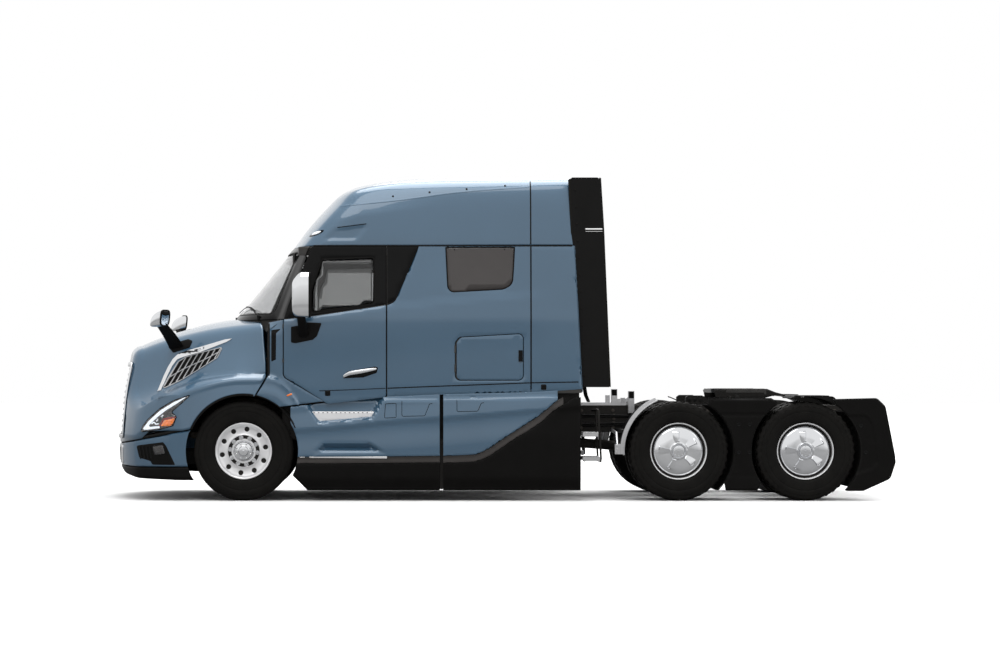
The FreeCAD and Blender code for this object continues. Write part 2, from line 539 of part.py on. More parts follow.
DOOR_HINGES, LUGGAGE_HINGES = (1400.0, 1760.0), (1340.0, 1540.0)
cab_front, door = with_hinges(cab_front, door, DOOR_FRONT_X - PANEL_GAP / 2, DOOR_HINGES)
cab_side, luggage_door = with_hinges(cab_side, luggage_door, LUGGAGE_X[0] - PANEL_GAP / 2, LUGGAGE_HINGES)
for z in DOOR_HINGES:
    right = hinge_barrel(DOOR_FRONT_X - PANEL_GAP / 2, SIDE_HINGE_Y, z)
    cab_front = fuse([cab_front.cut(right["pocket_in_fixed"]), right["fixed"]])
nodes["cab_front"] = cab_front
nodes["cab_side_left"] = cab_side
nodes["door_left"] = door
nodes["luggage_door_left"] = luggage_door
nodes["door_window_left"] = side(glass, window_edge, -SEAT)
nodes["sleeper_windows"] = pair(side(glass, sleeper_edge, -SEAT))

rear_edge = [(SEAM_X, SILL_Z), (1200, SILL_Z), (1200, ROOF_Z - SEAT), (SEAM_X, ROOF_Z - SEAT)]
nodes["cab_back"] = fuse([
    lower.common(prism(rear_edge, "xz", -WIDE, WIDE)),
    glasshouse.common(prism(rear_edge, "xz", -WIDE, WIDE))])
nodes["roof_cap"] = roof(0).cut(roof(WALL))
floor_y = SIDE_Y - WALL - SEAT
mounts = [box(x - 70, x + 70, -RAIL_Y, -RAIL_Y + RAIL_FLANGE, RAIL_TOP + SEAT, FLOOR_Z - FLOOR_T)
          for x in (-2250, -1000, 600)]
floor_x = (FIREWALL_X + WALL + SEAT, DOOR_FRONT_X, back_x(FLOOR_Z) - WALL - SEAT)
floor = prism([(floor_x[0], -floor_y + 23), (floor_x[1], -floor_y), (floor_x[2], -floor_y),
               (floor_x[2], floor_y),
               (floor_x[1], floor_y), (floor_x[0], floor_y - 23)], "xy", FLOOR_Z - FLOOR_T, FLOOR_Z)
nodes["cab_floor"] = fuse([floor] + mounts + [mirrored(m) for m in mounts])

# ---- cab interior -------------------------------------------------------------------------
dash_x = FIREWALL_X + WALL + SEAT
dash = prism([(dash_x, FLOOR_Z + SEAT), (-2300, FLOOR_Z + SEAT), (-2200, 1500, 60), (-2040, 1560, 60),
              (-2040, 1840, 60),
              (-2190, BELT_Z - 8, 60), (-2298, BELT_Z - 8), (-2298, BELT_Z - WALL - SEAT),
              (dash_x, BELT_Z - WALL - SEAT)],
             "xz", -925, 925)
COLUMN_TOP, COLUMN_LEAN = V(-1870, -560, 1830), 32.0
wheel_axis = V(math.sin(math.radians(COLUMN_LEAN)), 0, math.cos(math.radians(COLUMN_LEAN)))
nodes["dashboard"] = fuse([dash, rod(tuple(COLUMN_TOP - wheel_axis * 280),
                                     tuple(COLUMN_TOP - wheel_axis * 40), 42)])
wheel_rim = Part.makeTorus(215, 15, COLUMN_TOP, wheel_axis)
spokes = [Part.makeBox(200, 34, 14, V(0, -17, -7)) for _ in range(3)]
for i, spoke in enumerate(spokes):
    spoke.rotate(V(0, 0, 0), V(0, 0, 1), 90 + 120 * i)
    spoke.rotate(V(0, 0, 0), V(0, 1, 0), COLUMN_LEAN)
    spoke.translate(COLUMN_TOP)
nodes["steering_wheel"] = fuse([wheel_rim, rod(tuple(COLUMN_TOP - wheel_axis * (40 - SEAT)),
                                             tuple(COLUMN_TOP + wheel_axis * 16), 55)] + spokes)
seat = prism([(-1660, FLOOR_Z + SEAT), (-1260, FLOOR_Z + SEAT), (-1260, 1480), (-1130, 2180, 50),
              (-1250, 2200, 50),
              (-1370, 1640, 40), (-1760, 1640, 50), (-1760, 1500, 40), (-1660, 1480)], "xz", -820, -300)
nodes["seats"] = pair(seat)
nodes["bunk"] = fuse([box(-480, back_x(1700) - WALL - 2, -1100, 1100, 1500, 1700),
                      box(-420, 700, -1100, 1100, FLOOR_Z + SEAT, 1200),
                      box(-420, -380, -1100, 1100, 1200, 1501),
                      box(680, 700, -1100, 1100, 1200, 1501)])

# ---- hood ---------------------------------------------------------------------------------
hood = front_body(0).cut(front_body(HOOD_T))
HOOD_LOW = [(-4300, 594), (-4040, 597), (-3850, 632), (-3540, 690), (-3212, 752)]
hood_floor = HOOD_LOW + [(-2580, 752), (-2580, 1081), (-2464, 1289), (-2464, 1320), (-2380, 1320),
                         (-2380, 100), (-4300, 100)]
arch = rod((FRONT_AXLE_X, -WIDE, AXLE_Z), (FRONT_AXLE_X, WIDE, AXLE_Z), ARCH_R)
rear_cut_z = 1000
rear_arc = Part.Arc(V(-2500, -1000, rear_cut_z), V(-2868, 0, rear_cut_z),
                    V(-2500, 1000, rear_cut_z)).toShape()
rear_stops = [V(x, y, rear_cut_z) for x, y in (
    (-2500, 1000), (-2460, 1180), (-2460, WIDE), (-2200, WIDE),
    (-2200, -WIDE), (-2460, -WIDE), (-2460, -1180), (-2500, -1000))]
rear_lines = [Part.makeLine(a, b) for a, b in zip(rear_stops, rear_stops[1:])]
rear_cut = Part.Face(Part.Wire([rear_arc] + rear_lines))
rear_cut = rear_cut.extrude(V(0, 0, 1200))
grille_edge = [(-545, 1455, 40), (545, 1455, 40), (640, 1080, 60), (700, 650, 50), (-700, 650, 50),
               (-640, 1080, 60)]
lamp_edge = [(-3775, 700, 20), (-3760, 770, 20), (-3700, 845, 20), (-3560, 985, 20), (-3400, 1060, 20),
             (-3243, 1090, 4),
             (-3350, 1000, 20), (-3430, 935, 20), (-3400, 860, 20), (-3440, 800, 20), (-3560, 745, 20)]
hood = hood.cut(prism(hood_floor, "xz", -WIDE, WIDE)).cut(arch).cut(rear_cut)
hood = hood.cut(prism(grille_edge, "yz", -4200, -3700))
lamp_room = front_body(0).cut(front_body(80)).common(prism(lamp_edge, "xz", -WIDE, -880, SEAT))
hood = hood.cut(lamp_room).cut(mirrored(lamp_room))
lamp = front_body(0).cut(front_body(80)).common(prism(lamp_edge, "xz", -WIDE, -880))
nodes["headlamps"] = pair(lamp)

for y in (-HOOD_HINGE_Y, HOOD_HINGE_Y):
    hood = hood.cut(box(-4110, -4030, y - 21, y + 21, 560, 640))
    hood = hood.cut(rod((HOOD_HINGE_X, y - 60, HOOD_HINGE_Z), (HOOD_HINGE_X, y + 60, HOOD_HINGE_Z),
                        HOOD_HINGE_R + RUNNING))
nodes["hood"] = hood
grille_layer = nose(6).cut(nose(34))
grille = grille_layer.common(prism(grille_edge, "yz", -4200, -3700, -SEAT))
grille_bars = [box(-4200, -3700, -700, 700, z, z + 42) for z in range(700, 1400, 62)]
window = prism(grille_edge, "yz", -4200, -3700, -45)
nodes["grille"] = grille.cut(Part.makeCompound([b.common(window) for b in grille_bars]))

# ---- bumper -------------------------------------------------------------------------------
bumper_edge = [(-4300, 578), (-4040, 579), (-3850, 614), (-3540, 674), (-3212, 735), (-3100, 735),
               (-3100, 230),
               (-3240, 222), (-3850, 228), (-3990, 300), (-4300, 330)]
bumper = nose(0).cut(nose(HOOD_T)).common(prism(bumper_edge, "xz", -WIDE, WIDE)).cut(arch)
bumper = bumper.cut(box(-3200, 0, -WIDE, WIDE, 0, 1400))
arms = []
for y in (-HOOD_HINGE_Y, HOOD_HINGE_Y):
    arms.append(box(-4090, -4040, y - 15, y + 15, 560, 600))
    arms.append(rod((HOOD_HINGE_X, y - 50, HOOD_HINGE_Z), (HOOD_HINGE_X, y + 50, HOOD_HINGE_Z),
                    HOOD_HINGE_R))
    arms.append(box(-4083, -4040, y - 15, y + 15, 599, 612))
brackets = [box(-4045, RAIL_FRONT_X - SEAT, -RAIL_Y, -RAIL_Y + RAIL_FLANGE, 480, 560),
            box(-3900, RAIL_FRONT_X - SEAT, -RAIL_Y, -RAIL_Y + RAIL_FLANGE, 559, 900)]
nodes["front_bumper"] = fuse([bumper] + arms + brackets + [mirrored(b) for b in brackets])

# ---- mirrors ------------------------------------------------------------------------------
hood_mirror_head = prism([(-3640, 1835, 30), (-3560, 1822, 20), (-3468, 1826, 30), (-3462, 1985, 30),
                          (-3560, 2000, 40),
                          (-3650, 1975, 40)], "xz", -1240, -1060)
hood_mirror_arm = [rod((-3350, -735, 1640), (-3390, -860, 1715), 13),
                   rod((-3390, -860, 1715), (-3540, -1110, 1850), 13)]
foot = prism([(-3475, 1585, 20), (-3240, 1660, 20), (-3260, 1715, 20), (-3440, 1670, 20)], "xz", -900, -640)
foot = foot.common(hood_crown(-22).cut(hood_crown(-SEAT)))
arm_up = fuse(hood_mirror_arm).cut(hood_crown(-SEAT))
nodes["hood_mirrors"] = pair(fuse([hood_mirror_head, foot, arm_up]))

MIRROR_Y = (-1470.0, -1285.0)
mirror_head = prism([(-2175, 1925, 50), (-2010, 1912, 40), (-1985, 1960, 30), (-1985, 2340, 40),
                     (-2030, 2376, 50),
                     (-2150, 2360, 60), (-2180, 2300, 60)], "xz", *MIRROR_Y)
mirror_foot = prism([(-2185, 1640, 15), (-2130, 1632, 15), (-1990, 1700, 20), (-1900, 1840, 15),
                     (-2080, 1852, 15),
                     (-2185, 1815, 15)], "xz", -SIDE_Y - 24, -SIDE_Y - SEAT)
mirror_arms = [rod((-2060, -SIDE_Y - 20, 1790), (-2080, -1380, 1960), 20),
               rod((-2060, -SIDE_Y - 20, 1830), (-2080, -1380, 2260), 16)]
nodes["door_mirror_left"] = fuse([mirror_head, mirror_foot] + mirror_arms)

# ---- fairings and steps -------------------------------------------------------------------
SKIRT_T, SKIRT_SPLIT_X, SKIRT_GAP = 26.0, -633.0, 30.0
SKIRT_TOP = 1045.0
skirt_end, skirt_start = SKIRT_SPLIT_X - SKIRT_GAP / 2, SKIRT_SPLIT_X + SKIRT_GAP / 2
skirt_front = [(-2457, 1285), (-2573, 1077), (-2573, SKIRT_Z + 165), (-2183, SKIRT_Z + 165),
               (-2030, SKIRT_Z),
               (skirt_end, SKIRT_Z), (skirt_end, SKIRT_TOP), (-1800, SKIRT_TOP - 50),
               (-2080, SKIRT_TOP + 120),
               (-2250, 1244), (-2300, 1262)]
skirt_rear = [(skirt_start, SKIRT_Z), (833, SKIRT_Z), (833, SKIRT_TOP + 25), (skirt_start, SKIRT_TOP)]
upper_recess = [(-2060, 985, 20), (-1915, 805, 30), (-1340, 862, 30), (-1230, 985, 20), (-1230, 1100),
                (-1850, 1100)]
lower_recess = [(-1933, 530, 20), (-1850, 603, 30), (-1371, 603, 30), (-1040, 530, 20), (-1040, 420, 20),
                (-1933, 420, 20)]
fairing_arch = rod((FRONT_AXLE_X, -WIDE, AXLE_Z), (FRONT_AXLE_X, WIDE, AXLE_Z), FAIRING_ARCH_R)


def panel(edge, y=HALF_WIDTH, t=SKIRT_T):
    return prism(edge, "xz", -y, -y + t)


def stay(x, z, y_out, r=18):
    """Bracket tube from the frame rail out to a side panel."""
    return rod((x, -RAIL_Y - SEAT, z), (x, -y_out, z), r)


front_skirt = panel(skirt_front).cut(fairing_arch).cut(prism(upper_recess, "xz", -WIDE, -900)).cut(
    prism(lower_recess, "xz", -WIDE, -900))
rear_skirt = panel(skirt_rear)
in_y = HALF_WIDTH - SKIRT_T
rear_skirt = fuse([rear_skirt, stay(-560, 965, in_y + 1), stay(620, 965, in_y + 1)])
front_skirt = fuse([front_skirt, stay(-1110, 965, in_y + 1), stay(-720, 965, in_y + 1)])
nodes["front_skirts"] = pair(front_skirt)
nodes["rear_skirts"] = pair(rear_skirt)

step_inner = 1010.0
upper_tread = prism([(-2040, 925), (-1200, 925), (-1262, 862), (-1900, 826), (-1960, 862)], "xz",
                    -in_y + SEAT, -step_inner)
lower_tread = box(-2000, -1160, -in_y + SEAT, -step_inner, 430, 482)
step_back = box(-2000, -1160, -step_inner - 1, -step_inner + 12, 430, 900)
step_stays = [stay(x, 860, step_inner - 5, 20) for x in (-1900, -1250)]
entry_step = fuse([upper_tread, lower_tread, step_back] + step_stays)

rear_treads = [box(843, 1030, -1190, -840, z, z + 26) for z in (682, 428)]
rear_step = fuse(rear_treads + [
    box(1000, 1030, -900, -870, 428, 940), stay(1015, 925, 871, 15), box(843, 870, -900, -870, 428, 708)])
nodes["steps"] = Part.makeCompound([entry_step, rear_step, mirrored(entry_step), mirrored(rear_step)])

EXTENDER_Z = (1183.0, 3372.0)
SLOT = [(855, 2808), (1070, 2808), (1070, 2842), (870, 2842)]
extender_edge = [(back_x(EXTENDER_Z[0]) + SEAT, EXTENDER_Z[0]), (1124, EXTENDER_Z[0]), (1055, 2828),
                 (1022, EXTENDER_Z[1], 30),
                 (back_x(3300) + 12, EXTENDER_Z[1]), (back_x(3300) + SEAT, 3300)]
extender = prism(extender_edge, "xz", -1150, -1128).cut(prism(SLOT, "xz", -1200, -1100))
nodes["side_extenders"] = pair(extender)

# ---- rear deck, fifth wheel and fenders ---------------------------------------------------
deck = box(850, 1370, -RAIL_Y, RAIL_Y, RAIL_TOP + SEAT, 1000)
posts = [box(1215, 1280, -400, -360, 999, 1160), box(1391, 1456, -RAIL_Y - 40, -RAIL_Y - SEAT, 903, 1139),
         box(1279, 1312, -400, -360, 999, 1055)]
nodes["deck_plate"] = Part.makeCompound([fuse([deck, posts[0], posts[2]]), posts[1]])

EAR_Y, PIN_R, EAR_R = 330.0, 22.0, 46.0
cheek = prism([(FIFTH_X - 190, RAIL_TOP + SEAT), (FIFTH_X + 190, RAIL_TOP + SEAT),
               (FIFTH_X + 50, FIFTH_PIVOT_Z + 30, 30),
               (FIFTH_X - 50, FIFTH_PIVOT_Z + 30, 30)], "xz", -EAR_Y - 70, -EAR_Y - 30)
sole = box(FIFTH_X - 230, FIFTH_X + 230, -RAIL_Y - 40, -EAR_Y + 30, RAIL_TOP + SEAT, RAIL_TOP + 14)
pivot_pin = rod((FIFTH_X, -EAR_Y - 70, FIFTH_PIVOT_Z), (FIFTH_X, -EAR_Y + 24, FIFTH_PIVOT_Z), PIN_R)
nodes["fifth_wheel_base"] = pair(fuse([cheek, sole, pivot_pin]))

plate_edge = [(2300, -300, 80), (2300, 300, 80), (2420, 455, 80), (2880, 455, 60), (3070, 300, 40),
              (3070, 235, 20), (FIFTH_X + 95, 52, 10), (FIFTH_X + 95, -52, 10), (3070, -235, 20),
              (3070, -300, 40), (2880, -455, 60), (2420, -455, 80)]
plate = prism(plate_edge, "xy", FIFTH_TOP - FIFTH_PLATE_T, FIFTH_TOP)
king_bore = rod((FIFTH_X, 0, 1000), (FIFTH_X, 0, 1300), KING_R)
jaw = box(FIFTH_X - 120, FIFTH_X + 90, -110, 110, FIFTH_TOP - FIFTH_PLATE_T - 30,
          FIFTH_TOP - FIFTH_PLATE_T + 1)
ramp_cut = prism([(2880, FIFTH_TOP + 1), (2880, FIFTH_TOP), (3075, FIFTH_TOP - 68), (3100, FIFTH_TOP + 1)],
                 "xz", -500, 500)
ramp_add = prism([(2850, FIFTH_TOP - 1), (2880, FIFTH_TOP), (3068, FIFTH_TOP - 64), (3068, FIFTH_TOP - 84),
                  (2850, FIFTH_TOP - 60)],
                 "xz", -500, 500).common(prism(plate_edge, "xy", 1000, 1200))
ears = [fuse([rod((FIFTH_X, y, FIFTH_PIVOT_Z), (FIFTH_X, y + 54, FIFTH_PIVOT_Z), EAR_R),
              box(FIFTH_X - EAR_R, FIFTH_X + EAR_R, y, y + 54, FIFTH_PIVOT_Z,
                  FIFTH_TOP - FIFTH_PLATE_T + 1)])
        for y in (-EAR_Y - 24, EAR_Y - 30)]
pin_bore = rod((FIFTH_X, -600, FIFTH_PIVOT_Z), (FIFTH_X, 600, FIFTH_PIVOT_Z), PIN_R + RUNNING)
plate = fuse([plate, jaw, ramp_add] + ears).cut(ramp_cut).cut(pin_bore).cut(king_bore)
nodes["fifth_wheel_plate"] = plate

FENDER_IN_Y, FENDER_SKIN = 640.0, 10.0


def over_tyre(x, edge, r=FENDER_R):
    """Curved guard over the twin tyres at an axle, within an outline in side view."""
    low, high = -HALF_WIDTH + 20, -FENDER_IN_Y
    ring = revolved([(low, r), (low, r + FENDER_SKIN), (high, r + FENDER_SKIN), (high, r)], x, AXLE_Z)
    return ring.common(prism(edge, "xz", -WIDE, -500))


front_x, rear_x = DRIVE_X
guard_z = AXLE_Z + FENDER_R + FENDER_SKIN + 2       # top of the rear guards
side_z = guard_z - 97                               # foot of the cover over the rear wheel
above_z = guard_z + 103                             # clear above every guard
tyre_room = [rod((x, -WIDE, AXLE_Z), (x, -500, AXLE_Z), FENDER_R) for x in DRIVE_X]
mid_x = (front_x + 306.5, rear_x - 304.5)           # ends of the guard between the wheels
mid_edge = [(mid_x[0], guard_z - 26), (mid_x[1] - 60, guard_z - 26), (mid_x[1], guard_z - 62),
            (mid_x[1], 900), (mid_x[1] - 200, SKIRT_Z), (mid_x[0] + 180, SKIRT_Z), (mid_x[0], 900)]
rear_edge_low = [(rear_x + 279.5, guard_z - 37, 10), (TAIL_X - 196, guard_z - 26, 60),
                 (TAIL_X - 106, guard_z - 112, 60), (TAIL_X - 6, 470, 60), (TAIL_X, 400, 60),
                 (TAIL_X - 56, 230, 80),
                 (TAIL_X - 336, 104, 20), (TAIL_X - 536, 104, 30), (TAIL_X - 496, 300, 60)]
guards = []
mid_side = prism(mid_edge, "xz", -HALF_WIDTH, -HALF_WIDTH + 24).cut(tyre_room)
mid_sheets = [over_tyre(x, [(end, above_z), (TANDEM_X, above_z), (TANDEM_X, SKIRT_Z), (end, SKIRT_Z)])
              for x, end in zip(DRIVE_X, mid_x)]
mid_stay = stay(TANDEM_X, 900, HALF_WIDTH - 10, 22)
guards.append(fuse([mid_side] + mid_sheets + [mid_stay]))
top_x = (rear_x - 149.5, rear_x + 295.5)            # ends of the cover over the rear wheel
top_side = prism([(top_x[0], guard_z - 57), (top_x[0] + 25, guard_z, 20), (top_x[1] - 60, guard_z, 20),
                  (top_x[1], guard_z - 57)], "xz", -HALF_WIDTH, -FENDER_IN_Y)
top_side = top_side.cut(box(top_x[0] - 100, top_x[1] + 100, -HALF_WIDTH + 12, -500, side_z, guard_z - 29))
rear_side = prism(rear_edge_low, "xz", -HALF_WIDTH, -HALF_WIDTH + 24)
rear_sheet = over_tyre(rear_x, [(top_x[0], above_z), (TAIL_X - 196, above_z), (TAIL_X - 196, 150),
                                (TAIL_X - 536, 150), (TAIL_X - 536, side_z), (top_x[0], side_z)])
rear_stay = stay(TAIL_X - 196, 860, HALF_WIDTH - 10, 22)
guards.append(fuse([top_side, rear_side, rear_sheet, rear_stay]).cut(tyre_room[1]))
front_sheet = over_tyre(front_x, [(front_x - 643.5, 480), (front_x - 643.5, above_z),
                                  (front_x - 283.5, above_z),
                                  (front_x - 283.5, 480)])
bar_z = 720.0                                       # at the rail's web
bar_x = front_x - math.sqrt(FENDER_R ** 2 - (bar_z - AXLE_Z) ** 2) - 32      # seats on the front sheet
front_bar = box(bar_x - 23, bar_x + 23, -HALF_WIDTH + 60, -RAIL_Y - SEAT, bar_z - 20, bar_z + 20)
guards.append(fuse([front_sheet, front_bar]))
nodes["rear_fenders"] = Part.makeCompound([s for g in guards for s in (g, mirrored(g))])

# ---- right-hand pieces and files ----------------------------------------------------------
for name in [n for n in nodes if n.endswith("_left")]:
    nodes[name.replace("_left", "_right")] = mirrored(nodes[name])

os.makedirs("parts", exist_ok=True)
for name, shape in nodes.items():
    shape.exportStep(f"parts/{name}.step")
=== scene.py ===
import json
import math

import bmesh
import bpy
import numpy as np
from mathutils import Matrix, Vector
from mathutils.bvhtree import BVHTree
from mathutils.geometry import delaunay_2d_cdt


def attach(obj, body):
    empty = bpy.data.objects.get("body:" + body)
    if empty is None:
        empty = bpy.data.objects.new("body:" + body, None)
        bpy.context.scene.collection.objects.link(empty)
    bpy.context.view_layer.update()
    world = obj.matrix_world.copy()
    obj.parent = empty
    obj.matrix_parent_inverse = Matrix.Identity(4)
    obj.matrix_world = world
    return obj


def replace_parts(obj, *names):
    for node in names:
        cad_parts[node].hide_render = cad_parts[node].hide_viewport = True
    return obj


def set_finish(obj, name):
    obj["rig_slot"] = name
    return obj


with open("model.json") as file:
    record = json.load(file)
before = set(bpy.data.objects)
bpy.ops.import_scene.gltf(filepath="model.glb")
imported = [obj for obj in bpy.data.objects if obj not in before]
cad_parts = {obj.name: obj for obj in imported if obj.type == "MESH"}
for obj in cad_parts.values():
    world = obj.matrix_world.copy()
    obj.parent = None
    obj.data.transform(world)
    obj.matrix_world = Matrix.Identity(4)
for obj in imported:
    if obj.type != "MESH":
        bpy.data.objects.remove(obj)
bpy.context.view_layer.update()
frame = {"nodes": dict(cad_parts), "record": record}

# Lengths in this file are millimetres in the frame of the CAD; pieces are made in metres by MM.
MM = 0.001
X, Y, Z = Vector((1, 0, 0)), Vector((0, 1, 0)), Vector((0, 0, 1))


# ---- numbers shared with the CAD ------------------------------------------------------------
TYRE_R, TYRE_W = 517.0, 280.0
AXLE_Z, FRONT_AXLE_X, DRIVE_X = 517.0, -2690.0, (1843.5, 3164.5)
FRONT_WHEEL_Y, DUAL_Y = 1058.0, (745.0, 1079.0)
ARCH_R, SKIRT_ARCH_R, GUARD_R = 598.0, 566.0, 568.0
HALF_WIDTH, SIDE_Y, BELT_Z, ROOF_Z = 1240.0, 1188.0, 1890.0, 2662.0
SEAM_X = 306.0        # shut line between the side of the cab and its rear panel
SCREEN_Z, EAVE_Z = 1893.0, 2659.0     # foot of the windscreen frame, and the line under the roof cap
CAB_SECTIONS = [      # z, nose x, x and y where glass meets pillar, x where pillar meets side, half width
    (1890, -2850, -2354, 1000, -2266, 1188),
    (2010, -2755, -2310, 1000, -2226, 1181),
    (2662, -2222, -2078, 955, -1990, 1152),
    (2890, -2056, -1890, 940, -1800, 1143),
    (3100, -1870, -1700, 925, -1605, 1132),
    (3250, -1712, -1560, 900, -1460, 1112),
    (3330, -1570, -1250, 850, -1100, 1070),
    (3372, -1404, -941, 760, -480, 975),
    (3405, -1218, -554, 560, -204, 640),
    (3435, -923, -545, 200, -384, 240),
]
HOOD_SECTIONS = [     # x, crown z, shoulder y and z, flank y and z
    (-4130, 1400, 560, 1360, 640, 1000),
    (-3985, 1500, 580, 1445, 690, 1040),
    (-3895, 1606, 600, 1540, 735, 1075),
    (-3785, 1664, 630, 1595, 790, 1110),
    (-3500, 1768, 705, 1690, 890, 1180),
    (-3000, 1895, 840, 1800, 1060, 1280),
    (-2460, 1962, 1000, 1862, 1166, 1340),
]
FENDER_SECTIONS = [   # x, z of the crease on the outer face, z of the top beside the hood
    (-4130, 640, 700),
    (-3743, 800, 880),
    (-3555, 985, 1060),
    (-3347, 1118, 1180),
    (-3139, 1190, 1250),
    (-2879, 1255, 1300),
    (-2723, 1272, 1318),
    (-2440, 1275, 1322),
]
NOSE_Y = (0.0, 620.0, 1000.0, 1240.0)
NOSE_SECTIONS = [     # z, then x at each of NOSE_Y
    (200, -4075, -4000, -3840, -3420),
    (590, -4096, -4018, -3860, -3440),
    (1050, -4066, -3984, -3792, -3380),
    (1500, -3982, -3895, -3690, -3300),
    (2100, -3870, -3780, -3550, -3200),
]
HOOD_LOW = [(-4300, 594), (-4040, 597), (-3850, 632), (-3540, 690), (-3212, 752)]


# ---- curves ---------------------------------------------------------------------------------
def smooth(xs, ys, first=None, last=None):
    """Monotone cubic through points, as a function that goes on straight beyond its ends."""
    xs, ys = [float(x) for x in xs], [float(y) for y in ys]
    n = len(xs)
    d = [(ys[i + 1] - ys[i]) / (xs[i + 1] - xs[i]) for i in range(n - 1)]
    m = [d[0] if first is None else first]
    for i in range(1, n - 1):
        m.append(0.0 if d[i - 1] * d[i] <= 0 else 2 * d[i - 1] * d[i] / (d[i - 1] + d[i]))
    m.append(d[-1] if last is None else last)

    def f(x):
        if x <= xs[0]:
            return ys[0] + m[0] * (x - xs[0])
        if x >= xs[-1]:
            return ys[-1] + m[-1] * (x - xs[-1])
        i = max(k for k in range(n - 1) if xs[k] <= x)
        h = xs[i + 1] - xs[i]
        t = (x - xs[i]) / h
        return ((1 + 2 * t) * (1 - t) ** 2 * ys[i] + t * (1 - t) ** 2 * h * m[i]
                + t * t * (3 - 2 * t) * ys[i + 1] + t * t * (t - 1) * h * m[i + 1])
    return f


def line(points):
    """Straight runs through points, held level beyond the ends."""
    xs, ys = zip(*points)
    return lambda x: float(np.interp(x, xs, ys))


def step(a, b, x):
    t = min(1.0, max(0.0, (x - a) / (b - a)))
    return t * t * (3 - 2 * t)


def lerp(a, b, t):
    return a + (b - a) * t


def around(count):
    """Evenly spaced angles once round a circle."""
    return [2 * math.pi * k / count for k in range(count)]


def rounded(points, spacing=25.0, closed=True):
    """Corners (a, b) or (a, b, radius) as evenly stepped points, with arcs at the corners."""
    n = len(points)
    path = []
    for i, p in enumerate(points):
        here = Vector(p[:2])
        r = p[2] if len(p) > 2 else 0.0
        if r <= 0 or (not closed and i in (0, n - 1)):
            path.append(here)
            continue
        u = (Vector(points[i - 1][:2]) - here)
        w = (Vector(points[(i + 1) % n][:2]) - here)
        turn = u.angle(w)
        run = min(r / math.tan(turn / 2), 0.49 * u.length, 0.49 * w.length)
        u.normalize()
        w.normalize()
        r = run * math.tan(turn / 2)
        centre = here + (u + w).normalized() * (r / math.sin(turn / 2))
        a, b = here + u * run - centre, here + w * run - centre
        steps = max(3, int(a.angle(b) * r / spacing * 2) + 2)
        for k in range(steps + 1):
            angle = a.angle_signed(b) * k / steps
            path.append(centre + Matrix.Rotation(-angle, 2) @ a)
    out = []
    for i in range(len(path) if closed else len(path) - 1):
        a, b = path[i], path[(i + 1) % len(path)]
        if (b - a).length < 0.05:
            continue
        k = max(1, round((b - a).length / spacing))
        out += [a.lerp(b, j / k) for j in range(k)]
    return out if closed else out + [path[-1]]


# ---- materials ------------------------------------------------------------------------------
class Nodes:
    """Small helper that adds and links shader nodes."""

    def __init__(self, tree):
        self.tree = tree

    def add(self, kind, **values):
        node = self.tree.nodes.new("ShaderNode" + kind)
        for key, value in values.items():
            if hasattr(node, key) and key not in node.inputs:
                setattr(node, key, value)
        return node

    def link(self, out, into):
        self.tree.links.new(out, into)

    def coordinates(self, stretch=(1, 1, 1)):
        mapping = self.add("Mapping")
        mapping.inputs["Scale"].default_value = stretch
        self.link(self.add("TexCoord").outputs["Object"], mapping.inputs["Vector"])
        return mapping.outputs["Vector"]

    def noise(self, where, scale, detail=4.0, rough=0.55):
        node = self.add("TexNoise")
        for key, value in (("Scale", scale), ("Detail", detail), ("Roughness", rough)):
            node.inputs[key].default_value = value
        self.link(where, node.inputs["Vector"])
        return node.outputs["Fac"]

    def ranged(self, value, low, high, out_low=0.0, out_high=1.0):
        node = self.add("MapRange")
        for i, number in enumerate((low, high, out_low, out_high)):
            node.inputs[i + 1].default_value = number
        self.link(value, node.inputs[0])
        return node.outputs[0]

    def math(self, operation, a, b):
        node = self.add("Math")
        node.operation = operation
        for socket, value in zip(node.inputs, (a, b)):
            if isinstance(value, (int, float)):
                socket.default_value = value
            else:
                self.link(value, socket)
        return node.outputs[0]

    def mix(self, fac, a, b):
        node = self.add("Mix")
        node.data_type = "RGBA"
        for socket, value in ((node.inputs["Factor"], fac), (node.inputs[6], a), (node.inputs[7], b)):
            if isinstance(value, (tuple, list)):
                socket.default_value = (*value[:3], 1.0)
            elif isinstance(value, (int, float)):
                socket.default_value = value
            else:
                self.link(value, socket)
        return node.outputs[2]

    def bump(self, height, strength, distance, before=None):
        node = self.add("Bump")
        node.inputs["Strength"].default_value = strength
        node.inputs["Distance"].default_value = distance
        self.link(height, node.inputs["Height"])
        if before is not None:
            self.link(before, node.inputs["Normal"])
        return node.outputs["Normal"]


def srgb(r, g, b):
    """A colour as it is seen, 0 to 255, as linear light."""
    return tuple((c / 255 / 12.92) if c <= 10.31 else ((c / 255 + 0.055) / 1.055) ** 2.4 for c in (r, g, b))


